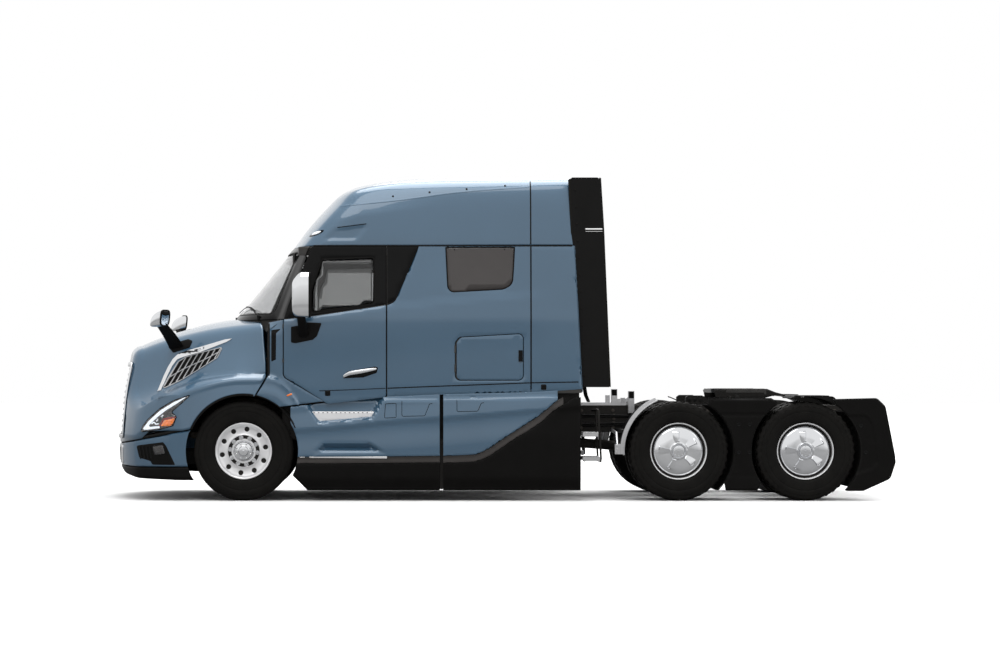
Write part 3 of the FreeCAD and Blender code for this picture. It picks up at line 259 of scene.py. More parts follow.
def material(name, colour, other, rough, metallic=0.0, cloud=3.0, grain=300.0, bump=0.2, depth=0.0003,
             stretch=(1, 1, 1), wear=None, dust=None, pattern=None, **sockets):
    """Principled surface: two tones by cloudy noise, grain in roughness and bump, and optional wear and dust.

    wear is (colour, amount); dust is (colour, height in metres where it fades out, amount)."""
    mat = bpy.data.materials.new(name)
    mat.use_nodes = True
    tree = mat.node_tree
    n = Nodes(tree)
    bsdf = tree.nodes["Principled BSDF"]
    where = n.coordinates(stretch)
    fine = n.noise(where, grain, 5.0, 0.6)
    base = n.mix(n.ranged(n.noise(where, cloud, 6.0), 0.3, 0.7), colour, other)
    if wear:
        pointiness = n.add("NewGeometry").outputs["Pointiness"]
        edge = n.math("MULTIPLY", n.ranged(pointiness, 0.52, 0.60), n.ranged(fine, 0.35, 0.65))
        base = n.mix(n.math("MULTIPLY", edge, wear[1]), base, wear[0])
    if dust:
        split = n.add("SeparateXYZ")
        n.link(n.coordinates(), split.inputs[0])
        low = n.ranged(split.outputs[2], 0.0, dust[1], 1.0, 0.0)
        patchy = n.ranged(n.noise(n.coordinates(), 9.0, 8.0, 0.7), 0.35, 0.75)
        base = n.mix(n.math("MULTIPLY", n.math("MULTIPLY", low, patchy), dust[2]), base, dust[0])
    n.link(base, bsdf.inputs["Base Color"])
    n.link(n.ranged(fine, 0.25, 0.75, rough[0], rough[1]), bsdf.inputs["Roughness"])
    height = n.bump(fine, bump, depth)
    if pattern:
        height = n.bump(pattern(n), 0.5, 0.0006, height)
    n.link(height, bsdf.inputs["Normal"])
    bsdf.inputs["Metallic"].default_value = metallic
    for key, value in sockets.items():
        bsdf.inputs[key.replace("_", " ")].default_value = value
    return mat


def weave(scale):
    def pattern(n):
        where = n.coordinates()
        waves = []
        for axis in ("X", "Z"):
            wave = n.add("TexWave", bands_direction=axis)
            wave.inputs["Scale"].default_value = scale
            wave.inputs["Distortion"].default_value = 0.4
            n.link(where, wave.inputs["Vector"])
            waves.append(wave.outputs["Fac"])
        return n.math("MULTIPLY", *waves)
    return pattern


DUST = (0.16, 0.14, 0.12)
MATS = {
    "paint": material("paint", srgb(56, 90, 115), srgb(60, 95, 121), (0.32, 0.40), 0.25, 0.8, 900, 0.04,
                      0.00004, dust=(DUST, 1.1, 0.06), Coat_Weight=1.0, Coat_Roughness=0.05, Coat_IOR=1.6),
    "black_plastic": material("black_plastic", srgb(9, 8, 7), srgb(13, 12, 11), (0.42, 0.62), 0.0, 5, 700,
                              0.35, 0.0003, wear=((0.02, 0.02, 0.02), 0.5), dust=(DUST, 0.5, 0.01),
                              Specular_IOR_Level=0.10),
    "gloss_black": material("gloss_black", srgb(9, 9, 9), srgb(13, 13, 13), (0.14, 0.24), 0.0, 4, 500, 0.05,
                            0.0001, Specular_IOR_Level=0.14),
    "grey_trim": material("grey_trim", srgb(58, 55, 53), srgb(66, 62, 60), (0.35, 0.5), 0.2, 5, 600, 0.25,
                          0.0003),
    "dark_chassis": material("dark_chassis", srgb(10, 10, 10), srgb(18, 17, 16), (0.45, 0.65), 0.1, 7, 220,
                             0.35, 0.0005, wear=((0.07, 0.065, 0.06), 0.6), dust=(DUST, 1.0, 0.04),
                             Specular_IOR_Level=0.15),
    "cast": material("cast", srgb(40, 39, 38), srgb(58, 54, 50), (0.55, 0.75), 0.35, 9, 160, 0.6, 0.0008,
                     wear=((0.2, 0.17, 0.14), 0.5), dust=(DUST, 0.9, 0.3)),
    "chrome": material("chrome", (0.78, 0.79, 0.80), (0.70, 0.71, 0.73), (0.05, 0.10), 1.0, 2, 260, 0.03,
                       0.0001),
    "polished_aluminium": material("polished_aluminium", (0.94, 0.94, 0.95), (0.88, 0.88, 0.89), (0.10, 0.20),
                                   0.35, 3, 420, 0.06, 0.0001, dust=(DUST, 0.5, 0.08)),
    "satin_aluminium": material("satin_aluminium", (0.52, 0.52, 0.53), (0.44, 0.44, 0.45), (0.26, 0.42), 1.0,
                                5, 300, 0.15, 0.0002, (1, 1, 12), wear=((0.7, 0.7, 0.7), 0.5),
                                dust=(DUST, 0.9, 0.2)),
    "greased_steel": material("greased_steel", (0.018, 0.018, 0.018), (0.04, 0.038, 0.036), (0.22, 0.5), 0.6,
                              12, 90, 0.5, 0.0012, wear=((0.12, 0.115, 0.11), 0.5)),
    "tyre": material("tyre", srgb(16, 15, 14), srgb(23, 22, 20), (0.62, 0.85), 0.0, 8, 260, 0.45, 0.0006,
                     wear=((0.03, 0.028, 0.026), 0.6), dust=((0.06, 0.055, 0.05), 0.25, 0.05),
                     Specular_IOR_Level=0.12),
    "upholstery": material("upholstery", srgb(52, 52, 55), srgb(66, 65, 66), (0.75, 0.95), 0.0, 14, 500, 0.4,
                           0.0006, pattern=weave(260), Sheen_Weight=0.4, Sheen_Roughness=0.5),
    "mattress": material("mattress", srgb(120, 118, 116), srgb(138, 136, 133), (0.8, 0.95), 0.0, 6, 500, 0.4,
                         0.0006, pattern=weave(180), Sheen_Weight=0.3),
    "trim": material("trim", srgb(46, 45, 44), srgb(56, 54, 52), (0.55, 0.75), 0.0, 6, 420, 0.4, 0.0004),
    "glass": material("glass", (0.32, 0.325, 0.325), (0.30, 0.305, 0.305), (0.0, 0.0), 0.0, 2, 30, 0.0,
                      0.0001, Transmission_Weight=1.0, IOR=1.45),
    "screen_glass": material("screen_glass", (0.52, 0.525, 0.53), (0.49, 0.495, 0.50), (0.0, 0.0), 0.0, 2, 30,
                             0.0, 0.0001, Transmission_Weight=1.0, IOR=1.45),
    "tinted_glass": material("tinted_glass", (0.075, 0.066, 0.064), (0.09, 0.08, 0.077), (0.03, 0.07), 0.0, 2,
                             60, 0.01, 0.0001, Transmission_Weight=0.35, IOR=1.5),
    "mirror": material("mirror", (0.86, 0.87, 0.88), (0.82, 0.83, 0.84), (0.01, 0.02), 1.0, 2, 60, 0.01,
                       0.0001),
    "lens": material("lens", (0.92, 0.94, 0.96), (0.88, 0.90, 0.92), (0.01, 0.03), 0.0, 3, 80, 0.02, 0.0001,
                     Transmission_Weight=1.0, IOR=1.3),
    "led": material("led", (0.86, 0.88, 0.90), (0.80, 0.82, 0.85), (0.2, 0.3), 0.0, 40, 200, 0.2, 0.0004,
                    Emission_Color=(0.9, 0.94, 1.0, 1.0), Emission_Strength=0.35),
    "amber": material("amber", (0.85, 0.20, 0.02), (0.78, 0.16, 0.015), (0.08, 0.16), 0.0, 30, 240, 0.3,
                      0.0005, Coat_Weight=0.6, Emission_Color=(1.0, 0.25, 0.02, 1.0), Emission_Strength=0.12),
    "red_lens": material("red_lens", (0.40, 0.012, 0.010), (0.33, 0.008, 0.008), (0.08, 0.16), 0.0, 30, 240,
                         0.3, 0.0005, Coat_Weight=0.6),
}


# ---- making pieces --------------------------------------------------------------------------
def new_piece(name, verts, faces, mat, body, slot=None, sharp=40.0, weld=0.02, core=None):
    """A shaded mesh from points in millimetres, riding on a body; its faces are turned away from core."""
    mesh = bpy.data.meshes.new(name)
    mesh.from_pydata([Vector(v) * MM for v in verts], [], [tuple(f) for f in faces])
    bm = bmesh.new()
    bm.from_mesh(mesh)
    if weld:
        bmesh.ops.remove_doubles(bm, verts=bm.verts, dist=weld * MM)
        bmesh.ops.dissolve_degenerate(bm, edges=bm.edges, dist=1e-6)
    if core:
        bmesh.ops.recalc_face_normals(bm, faces=bm.faces)
        middle = Vector(core) * MM
        if sum(f.normal.dot(f.calc_center_median() - middle) * f.calc_area() for f in bm.faces) < 0:
            bmesh.ops.reverse_faces(bm, faces=bm.faces)
    bm.to_mesh(mesh)
    bm.free()
    return finish_piece(name, mesh, mat, body, slot, sharp)


def finish_piece(name, mesh, mat, body, slot=None, sharp=40.0):
    for m in ([mat] if isinstance(mat, str) else mat):
        mesh.materials.append(MATS[m])
    mesh.shade_smooth()
    mesh.set_sharp_from_angle(angle=math.radians(sharp))
    piece = bpy.data.objects.new(name, mesh)
    bpy.context.scene.collection.objects.link(piece)
    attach(piece, body)
    if slot:
        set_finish(piece, slot)
    return piece


def thicken(piece, thickness, offset=-1.0):
    """Gives a sheet its thickness, inwards unless offset says otherwise."""
    mod = piece.modifiers.new("thick", "SOLIDIFY")
    mod.thickness, mod.offset = thickness * MM, offset
    mod.use_even_offset = False
    return piece


def soften(piece, width, segments=2, angle=35.0):
    mod = piece.modifiers.new("edges", "BEVEL")
    mod.width, mod.segments = width * MM, segments
    mod.limit_method, mod.angle_limit = "ANGLE", math.radians(angle)
    mod.harden_normals = False
    return piece


def mirrored(piece, name, body):
    """The right-hand copy of a left-hand piece."""
    mesh = piece.data.copy()
    bm = bmesh.new()
    bm.from_mesh(mesh)
    bmesh.ops.scale(bm, vec=(1, -1, 1), verts=bm.verts)
    bmesh.ops.reverse_faces(bm, faces=bm.faces)
    bm.to_mesh(mesh)
    bm.free()
    copy = bpy.data.objects.new(name, mesh)
    bpy.context.scene.collection.objects.link(copy)
    for mod in piece.modifiers:
        other = copy.modifiers.new(mod.name, mod.type)
        for key in ("thickness", "offset", "width", "segments", "limit_method", "angle_limit",
                    "use_even_offset"):
            if hasattr(mod, key):
                setattr(other, key, getattr(mod, key))
    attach(copy, body)
    if "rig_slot" in piece:
        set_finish(copy, piece["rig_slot"])
    return copy


def pair_of(piece, body="chassis"):
    """Adds the right-hand copy of a left-hand piece, and returns it."""
    return mirrored(piece, piece.name.replace("_left", "_right"), body)


def as_array(points):
    """Points as rows of an array, which inside, distance and well work on."""
    return np.array([tuple(p) for p in points])


def inside(points, loop):
    """Which of an array of points lie inside a loop of points."""
    x, y = points[:, 0], points[:, 1]
    result = np.zeros(len(points), bool)
    for (x0, y0), (x1, y1) in zip(loop, np.roll(loop, -1, axis=0)):
        if y0 == y1:
            continue
        result ^= ((y0 > y) != (y1 > y)) & (x < (x1 - x0) * (y - y0) / (y1 - y0) + x0)
    return result


def distance(points, loop):
    """Distance of each point from a closed loop."""
    best = np.full(len(points), 1e9)
    for a, b in zip(loop, np.roll(loop, -1, axis=0)):
        d = b - a
        t = np.clip(((points - a) @ d) / max(d @ d, 1e-9), 0, 1)
        best = np.minimum(best, np.linalg.norm(points - a - t[:, None] * d, axis=1))
    return best


def shrunk(loop, by):
    """A loop moved inwards by a distance (outwards if negative), point by point."""
    p = np.array(loop, float)
    area = 0.5 * np.sum(p[:, 0] * np.roll(p[:, 1], -1) - p[:, 1] * np.roll(p[:, 0], -1))
    ahead, behind = np.roll(p, -1, axis=0) - p, p - np.roll(p, 1, axis=0)
    ahead /= np.maximum(np.linalg.norm(ahead, axis=1), 1e-9)[:, None]
    behind /= np.maximum(np.linalg.norm(behind, axis=1), 1e-9)[:, None]
    normal = np.stack([-(ahead + behind)[:, 1], (ahead + behind)[:, 0]], 1)
    size = np.linalg.norm(normal, axis=1)[:, None]
    normal /= np.maximum(size, 1e-9)
    miter = np.clip(1 / np.maximum(size / 2, 0.5), 1, 1.6)
    return p + normal * miter * by * (1 if area > 0 else -1)


def flat_mesh(outer, holes=(), spacing=40.0, edge=0.0, cuts=()):
    """Triangles of an outline with holes: points, triangles, and how far each point is from an edge."""
    loops = [np.array(outer, float)] + [np.array(h, float) for h in holes]
    points, edges = [], []

    def add_loop(loop):
        start, n = len(points), len(loop)
        points.extend(map(tuple, loop))
        edges.extend((start + i, start + (i + 1) % n) for i in range(n))

    for k, loop in enumerate(loops):
        add_loop(loop)
        for share in ((0.3, 1.0) if edge else ()):
            points.extend(map(tuple, shrunk(loop, edge * share * (1 if k == 0 else -1))))
    for cut in cuts:
        points.extend(map(tuple, cut))
    low, high = loops[0].min(0), loops[0].max(0)
    gx = np.arange(low[0] + spacing / 2, high[0], spacing)
    gy = np.arange(low[1] + spacing / 2, high[1], spacing)
    grid = np.stack(np.meshgrid(gx, gy), -1).reshape(-1, 2)
    grid[:, 0] += np.where(np.round((grid[:, 1] - low[1]) / spacing) % 2 > 0, spacing / 4, -spacing / 4)
    keep = inside(grid, loops[0])
    for h in loops[1:]:
        keep &= ~inside(grid, h)
    for loop in loops:
        keep &= distance(grid, loop) > max(edge * 1.5, spacing * 0.4)
    points.extend(map(tuple, grid[keep]))
    found, _, tris, *_ = delaunay_2d_cdt([Vector(p) for p in points], edges, [], 0, 1e-4)
    found = np.array([tuple(v) for v in found])
    tris = np.array([t[:] for t in tris if len(t) == 3])
    centre = found[tris].mean(1)
    keep = inside(centre, loops[0])
    for h in loops[1:]:
        keep &= ~inside(centre, h)
    tris = tris[keep]
    used = np.unique(tris)
    index = -np.ones(len(found), int)
    index[used] = np.arange(len(used))
    found = found[used]
    far = np.min([distance(found, loop) for loop in loops], axis=0)
    return found, index[tris], far


def panel(name, body, outer, place, mat, holes=(), slot=None, spacing=40.0, edge=4.0, thick=4.0, sharp=40.0,
          proud=0.0, cuts=()):
    """A panel cut to an outline, laid on a surface: place(a, b) gives a point and its outward normal."""
    points, tris, far = flat_mesh(outer, holes, spacing, edge, cuts)
    verts = []
    for (a, b), d in zip(points, far):
        p, n = place(a, b)
        drop = edge - math.sqrt(max(0.0, edge ** 2 - (edge - d) ** 2)) if d < edge else 0.0
        verts.append(p + n * (proud - drop))
    centre = points[tris[0]].mean(0)
    n = place(*centre)[1]
    a, b, c = (Vector(verts[i]) for i in tris[0])
    if (b - a).cross(c - a).dot(n) < 0:
        tris = tris[:, ::-1]
    piece = new_piece(name, verts, tris.tolist(), mat, body, slot, sharp)
    return thicken(piece, thick) if thick else piece


NORMAL_STEP = 2.0      # how far apart points are taken to find a normal


def with_normal(surface):
    """Adds the outward normal to a function (a, b) -> point, outwards being -Y, -X or +Z."""
    def place(a, b):
        p = surface(a, b)
        n = (surface(a + NORMAL_STEP, b) - p).cross(surface(a, b + NORMAL_STEP) - p)
        if n.dot(Vector((-0.6, -1.0, 0.8))) < 0:
            n = -n
        return p, n.normalized()
    return place


def side_of(y_of):
    """Place on a left-hand side surface from side-view coordinates x, z."""
    return with_normal(lambda x, z: Vector((x, -y_of(x, z), z)))


def grid_faces(rows, columns, closed=False):
    faces = []
    for i in range(rows - 1):
        for j in range(columns if closed else columns - 1):
            k = (j + 1) % columns
            faces.append((i * columns + j, i * columns + k, (i + 1) * columns + k, (i + 1) * columns + j))
    return faces


def two_halves(points, faces):
    """The left half made from a right half's points, followed by the right half, with faces for both."""
    left = [Vector((v.x, -v.y, v.z)) for v in points]
    right = [Vector((v.x, -v.y, v.z)) for v in left]
    return left + right, faces + [tuple(i + len(left) for i in f) for f in faces]


class Shape:
    """Collects points and faces of simple solids that make one piece."""

    def __init__(self):
        self.verts, self.faces = [], []

    def add(self, verts, faces):
        start = len(self.verts)
        self.verts += [tuple(v) for v in verts]
        self.faces += [tuple(i + start for i in f) for f in faces]
        return self

    def box(self, x0, x1, y0, y1, z0, z1):
        v = [(x, y, z) for x in (x0, x1) for y in (y0, y1) for z in (z0, z1)]
        f = [(0, 1, 3, 2), (4, 6, 7, 5), (0, 4, 5, 1), (2, 3, 7, 6), (0, 2, 6, 4), (1, 5, 7, 3)]
        return self.add(v, f)

    def tube(self, path, radius, sides=12, caps=True, flat=1.0):
        """Round bar through points."""
        pts = [Vector(p) for p in path]
        rings = []
        up = Vector((0.13, 0.21, 1.0))
        for i, p in enumerate(pts):
            t = (pts[min(i + 1, len(pts) - 1)] - pts[max(i - 1, 0)]).normalized()
            u = t.cross(up).normalized()
            w = t.cross(u)
            r = radius[i] if isinstance(radius, (list, tuple)) else radius
            rings.append([p + (u * math.cos(a) + w * math.sin(a) * flat) * r
                          for a in around(sides)])
        verts = [v for ring in rings for v in ring]
        faces = grid_faces(len(rings), sides, True)
        if caps:
            faces += [tuple(range(sides))[::-1], tuple(range((len(rings) - 1) * sides, len(rings) * sides))]
        return self.add(verts, faces)

    def prism(self, loop, low, high, plane="xz"):
        """Outline in a plane, extruded along the third axis."""
        def put(a, b, c):
            return {"xz": (a, c, b), "yz": (c, a, b), "xy": (a, b, c)}[plane]
        n = len(loop)
        verts = [put(a, b, low) for a, b in loop] + [put(a, b, high) for a, b in loop]
        faces = [tuple(range(n)), tuple(range(2 * n - 1, n - 1, -1))]
        faces += [(i, n + i, n + (i + 1) % n, (i + 1) % n) for i in range(n)]
        return self.add(verts, faces)

    def bolt(self, at, normal, radius=11.0, height=9.0, washer=True):
        """Hexagon head on a washer."""
        p, n = Vector(at), Vector(normal).normalized()
        u = n.orthogonal().normalized()
        w = n.cross(u)
        rings = []
        if washer:
            rings += [(24, radius * 1.45, 0.0), (24, radius * 1.45, height * 0.2)]
        rings += [(6, radius, height * 0.2), (6, radius, height * 0.85), (6, radius * 0.82, height)]
        for kind in (24, 6):
            mine = [r for r in rings if r[0] == kind]
            if not mine:
                continue
            verts = [p + n * h + (u * math.cos(a) + w * math.sin(a)) * r
                     for _, r, h in mine for a in around(kind)]
            faces = [tuple(reversed(f)) for f in grid_faces(len(mine), kind, True)]
            faces.append(tuple(range((len(mine) - 1) * kind, len(mine) * kind)))
            self.add(verts, faces)
        return self

    def piece(self, name, mat, body, slot=None, sharp=40.0, bevel=0.0, segments=2):
        mesh = bpy.data.meshes.new(name)
        mesh.from_pydata([Vector(v) * MM for v in self.verts], [], self.faces)
        bm = bmesh.new()
        bm.from_mesh(mesh)
        bmesh.ops.recalc_face_normals(bm, faces=bm.faces)
        bm.to_mesh(mesh)
        bm.free()
        piece = finish_piece(name, mesh, mat, body, slot, sharp)
        return soften(piece, bevel, segments) if bevel else piece


def ray_place(piece, direction=(0, 1, 0), start=-2500.0, axes="xz"):
    """Place on another piece's surface, found by a ray along a direction from outside."""
    graph = bpy.context.evaluated_depsgraph_get()
    tree = BVHTree.FromObject(piece, graph)
    aim = Vector(direction)

    def place(a, b):
        at = {"xz": Vector((a, start, b)), "yz": Vector((start, a, b)), "xy": Vector((a, b, start))}[axes]
        hit, normal, _, _ = tree.ray_cast(at * MM, aim)
        if hit is None:
            hit, normal, _, _ = tree.find_nearest((at + aim * abs(start) * 0.5) * MM)
        if normal.dot(aim) > 0:
            normal = -normal
        return hit / MM, normal
    return place


# ---- stage, light and camera ----------------------------------------------------------------
def seen_directly(n, glossy=True):
    """1 for what the camera sees, straight or through glass, and in metal if glossy."""
    path = n.add("LightPath")
    seen = n.math("MAXIMUM", path.outputs["Is Camera Ray"], path.outputs["Is Transmission Ray"])
    return n.math("MAXIMUM", seen, path.outputs["Is Glossy Ray"]) if glossy else seen


def make_stage():
    mesh = bpy.data.meshes.new("floor")
    mesh.from_pydata([(-90, -60, 0), (90, -60, 0), (90, 90, 0), (-90, 90, 0)], [], [(0, 1, 2, 3)])
    floor = bpy.data.objects.new("floor", mesh)
    bpy.context.scene.collection.objects.link(floor)
    mat = bpy.data.materials.new("floor")
    mat.use_nodes = True
    n = Nodes(mat.node_tree)
    bsdf = mat.node_tree.nodes["Principled BSDF"]
    grain = n.noise(n.coordinates(), 0.6, 3.0)
    path = n.add("LightPath")
    bounced = n.math("MAXIMUM", path.outputs["Is Diffuse Ray"], path.outputs["Is Glossy Ray"])
    pale = n.mix(grain, (0.93, 0.93, 0.93), (0.95, 0.95, 0.95))
    n.link(n.mix(bounced, pale, (0.24, 0.24, 0.24)), bsdf.inputs["Base Color"])
    bsdf.inputs["Roughness"].default_value = 0.8
    bsdf.inputs["Specular IOR Level"].default_value = 0.1
    # far from the object the floor reaches the white of the background
    reach = n.add("VectorMath")
    reach.operation = "LENGTH"
    n.link(n.coordinates(), reach.inputs[0])
    shown = n.math("SUBTRACT", seen_directly(n), n.math("MULTIPLY", path.outputs["Is Glossy Ray"], 0.75))
    n.link(n.math("MULTIPLY", shown, n.ranged(reach.outputs["Value"], 5.5, 14.0, 0.0, 0.55)),
           bsdf.inputs["Emission Strength"])
    bsdf.inputs["Emission Color"].default_value = (1, 1, 1, 1)
    mesh.materials.append(mat)

    world = bpy.data.worlds.new("studio")
    bpy.context.scene.world = world
    world.use_nodes = True
    w = Nodes(world.node_tree)
    background = world.node_tree.nodes["Background"]
    background.inputs["Color"].default_value = (1, 1, 1, 1)
    split = w.add("SeparateXYZ")
    w.link(w.add("TexCoord").outputs["Generated"], split.inputs[0])
    studio = w.ranged(split.outputs[2], 0.0, 0.7, 0.50, 1.10)
    metal = w.add("LightPath").outputs["Is Glossy Ray"]
    lit = w.math("MULTIPLY", studio, w.math("SUBTRACT", 1.0, seen_directly(w)))
    mirrored_ = w.math("MULTIPLY", w.ranged(split.outputs[2], -0.02, 0.10, 0.50, 1.0), metal)
    w.link(w.math("ADD", w.math("ADD", lit, mirrored_), seen_directly(w, False)),
           background.inputs["Strength"])

    for name, at, aim, size, power in (
            ("key", (-3, -10, 13), (0, 0, 1), 9, 420), ("top", (0, 1, 13), (0, 0, 0), 12, 1500),
            ("fill", (12, -6, 9), (1, 0, 1.2), 8, 160), ("back", (2, 13, 10), (0, 0, 1.5), 9, 420)):
        light = bpy.data.lights.new(name, "AREA")
        light.shape, light.size, light.energy = "DISK", size, power
        lamp = bpy.data.objects.new(name, light)
        bpy.context.scene.collection.objects.link(lamp)
        lamp.location = at
        lamp.rotation_euler = (Vector(at) - Vector(aim)).to_track_quat("Z", "Y").to_euler()

    camera = bpy.data.cameras.new("camera")
    camera.lens, camera.sensor_width, camera.sensor_fit = 85.9, 36.0, "HORIZONTAL"
    camera.shift_x, camera.shift_y = 0.11, 0.044
    camera.clip_end = 400.0
    seat = bpy.data.objects.new("camera", camera)
    seat.location, seat.rotation_euler = (-1.1635, -26.05, 1.279), (math.pi / 2, 0, 0)
    bpy.context.scene.collection.objects.link(seat)
    bpy.context.scene.camera = seat
    bpy.context.scene.view_settings.view_transform = "Standard"


make_stage()


def oval(centre, u, w, a, b, n=2.6, count=28):
    """Rounded rectangle ring: a superellipse in the plane of u and w."""
    ring = []
    for t in around(count):
        c, s = math.cos(t), math.sin(t)
        ring.append(Vector(centre) + Vector(u) * (a * math.copysign(abs(c) ** (2 / n), c))
                    + Vector(w) * (b * math.copysign(abs(s) ** (2 / n), s)))
    return ring


def loft(shape, rings, caps=True):
    count = len(rings[0])
    faces = grid_faces(len(rings), count, True)
    if caps:
        faces += [tuple(range(count))[::-1], tuple(range((len(rings) - 1) * count, len(rings) * count))]
    return shape.add([v for ring in rings for v in ring], faces)


# ---- hood -----------------------------------------------------------------------------------
def columns(table):
    xs = [row[0] for row in table]
    return [smooth(xs, col) for col in list(zip(*table))[1:]]


crown_z, shoulder_y, shoulder_z, flank_y, flank_z = columns(HOOD_SECTIONS)
crease_z, top_z = columns(FENDER_SECTIONS)
hood_low = line(HOOD_LOW)
nose_at = [smooth([r[0] for r in NOSE_SECTIONS], col) for col in list(zip(*NOSE_SECTIONS))[1:]]
rear_x = smooth((0, 1000, 1180, 1240), (-2868, -2500, -2460, -2464), 0.0)


def nose_x(y, z):
    return smooth(NOSE_Y, [f(z) for f in nose_at], 0.0, 2.6)(abs(y))


def arch_low(x):
    """Lower edge of the fender."""
    if x < -3240:
        return hood_low(x)
    if x < -2580:
        return AXLE_Z + math.sqrt(max(ARCH_R ** 2 - (x - FRONT_AXLE_X) ** 2, 0))
    return lerp(1081, 1289, (x + 2580) / 116)


def corner(points, a, k, b, run_a, run_b, count):
    """Adds a curved corner at k between straight runs from a and towards b."""
    p, q = k + (a - k).normalized() * min(run_a, 0.48 * (a - k).length), k
    r = k + (b - k).normalized() * min(run_b, 0.48 * (b - k).length)
    for i in range(count + 1):
        t = i / count
        points.append((1 - t) ** 2 * p + 2 * t * (1 - t) * q + t * t * r)


def hood_section(x):
    """Half section of hood and fender as (y, z) points, crown first, always the same number."""
    low = arch_low(x)
    crease = max(crease_z(x), low + 12)
    top = max(top_z(x), crease + 14)
    keys = [Vector(k) for k in ((0, crown_z(x)), (shoulder_y(x), shoulder_z(x)),
                                (flank_y(x), max(flank_z(x), top)), (1150, top), (HALF_WIDTH - 20, crease),
                                (HALF_WIDTH, low))]
    marks = []
    for i, (run, n) in enumerate(((110, 6), (120, 6), (55, 5), (26, 4)), 1):
        marks.append([])
        corner(marks[-1], keys[i - 1], keys[i], keys[i + 1], run, run, n)
    out = []
    starts = [keys[0]] + [m[-1] for m in marks]
    ends = [m[0] for m in marks] + [keys[-1]]
    for i, (a, b, n) in enumerate(zip(starts, ends, (10, 5, 4, 3, 16))):
        for j in range(n):
            t = j / n
            p = a.lerp(b, t)
            if i == 0:
                p.y += 16 * (1 - (2 * t - 1) ** 2)
            elif i == 1:
                p.y -= 10 * (1 - (2 * t - 1) ** 2)
            elif i == 4:
                turn = min(0.6, lerp(8, 50, step(-3560, -3247, x)) / max(60, crease - low))
                p.x -= 20 * t if t < turn else 20 * (t - (t - turn) / (1 - turn))
            out.append(p)
        out += marks[i][:-1] if i < 4 else [keys[-1]]
    return out


SECTIONS = {}


def hood_point(j, x):
    """Point j of the section at x, read between sections made every 10 mm."""
    k = math.floor(x / 10)
    for i in (k, k + 1):
        if i not in SECTIONS:
            SECTIONS[i] = hood_section(i * 10.0)
    return SECTIONS[k][j].lerp(SECTIONS[k + 1][j], x / 10 - k)


def make_hood():
    count = len(hood_section(-3000.0))
    rings, starts = 7, []
    for j in range(count):
        s = j / (count - 1)
        r = lerp(100, 70, step(0.3, 0.75, s)) + 40 * step(0.8, 1.0, s)
        x = -3900.0
        for _ in range(12):
            p = hood_point(j, x)
            x = lerp(x, nose_x(p.x, p.y) + r, 0.7)
        a, b = hood_point(max(j - 1, 0), x), hood_point(min(j + 1, count - 1), x)
        n = Vector((-(b - a).y, (b - a).x)).normalized()
        if j == 0:
            n = Vector((0, 1))
        if n.y < 0 and j < count * 0.7:
            n = -n
        starts.append((x, p, n, r))
    # the corner of the face is rounded the same way all along, so normals turn gently
    columns_out = []
    for j, (x, p, n, r) in enumerate(starts):
        column = []
        for k in range(rings):
            phi = math.pi / 2 * k / (rings - 1)
            inset = r * (1 - math.sin(phi))
            q = p - n * inset
            if j == count - 1 or q.y < hood_low(x) + 1:
                q.y = max(q.y, hood_low(nose_x(q.x, q.y)))
            column.append(Vector((nose_x(q.x, q.y) + r * (1 - math.cos(phi)), q.x, q.y)))
        along = 74
        end = -2700.0
        for _ in range(10):
            end = rear_x(hood_point(j, end).x)
        if j == count - 1:
            end = -2464
        for k in range(1, along + 1):
            t = k / along
            xx = lerp(x, end, t)
            q = hood_point(j, xx)
            column.append(Vector((xx, q.x, q.y)))
        columns_out.append(column)
    verts, faces = two_halves([v for col in columns_out for v in col], grid_faces(count, len(columns_out[0])))
    # front face between the rounded edge and the seam above the bumper
    edge = [(c[0].y, c[0].z) for c in columns_out]
    seam = [(y, hood_low(nose_x(y, 600))) for y in np.linspace(edge[-1][0], 0, 26)[1:-1]]
    half = edge + seam
    outline = [(-y, z) for y, z in half] + [(0, hood_low(nose_x(0, 600)))]
    outline += [(y, z) for y, z in reversed(half[1:])]
    grille = rounded([(-630, 1425, 60), (630, 1425, 60), (688, 1080, 80), (710, 656, 40), (-710, 656, 40),
                      (-688, 1080, 80)], 45)
    points, tris, _ = flat_mesh(outline, [grille], 60)
    start = len(verts)
    verts += [Vector((nose_x(y, z), y, z)) for y, z in points]
    faces += [tuple(t + start for t in tri) for tri in tris]
    hood = new_piece("hood_shell", verts, faces, "paint", "hood", "paint", 28.0, weld=1.0,
                     core=(-3200, 0, 900))
    thicken(hood, 5)
    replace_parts(hood, "hood")
    return hood


hood = make_hood()
on_hood = ray_place(hood)


# ---- cab front, roof and sides --------------------------------------------------------------
cab_columns = [list(c) for c in zip(*CAB_SECTIONS)]
cab_at = [line(list(zip(cab_columns[0], col))) for col in cab_columns[1:]]
belt_z = smooth((-2271, -1997, -1580, -1205, -746, -17, 306), (1893, 1920, 1983, 2040, 2087, 2155, 2175))
lower_seam_z = smooth((-2110, -1893, -1633, -1205, -642, 307, 828), (997, 1024, 1055, 1091, 1117, 1143, 1175))
sill_seam_z = smooth((-1998, -1633, -1205, -642, -17, 307, 828), (1143, 1154, 1172, 1194, 1217, 1229, 1238))


def back_x(z):
    return 833.0 - 0.051 * (z - 1123.0)


def plan(x0, x1, y1, x2, y2, c):
    """Point of the cab's plan outline: c from 0 to 1 along the glass arc, and on to 2 over the pillar."""
    if c <= 1:
        h = x1 - x0
        r = (y1 * y1 + h * h) / (2 * h)
        t = c * math.asin(min(1.0, y1 / r))
        return Vector((x0 + r - r * math.cos(t), r * math.sin(t)))
    return Vector((lerp(x1, x2, c - 1), lerp(y1, y2, c - 1)))


GLASS_A, PILLAR_A = 1000, 200      # reach of the glass from the middle, and of the pillar beyond it


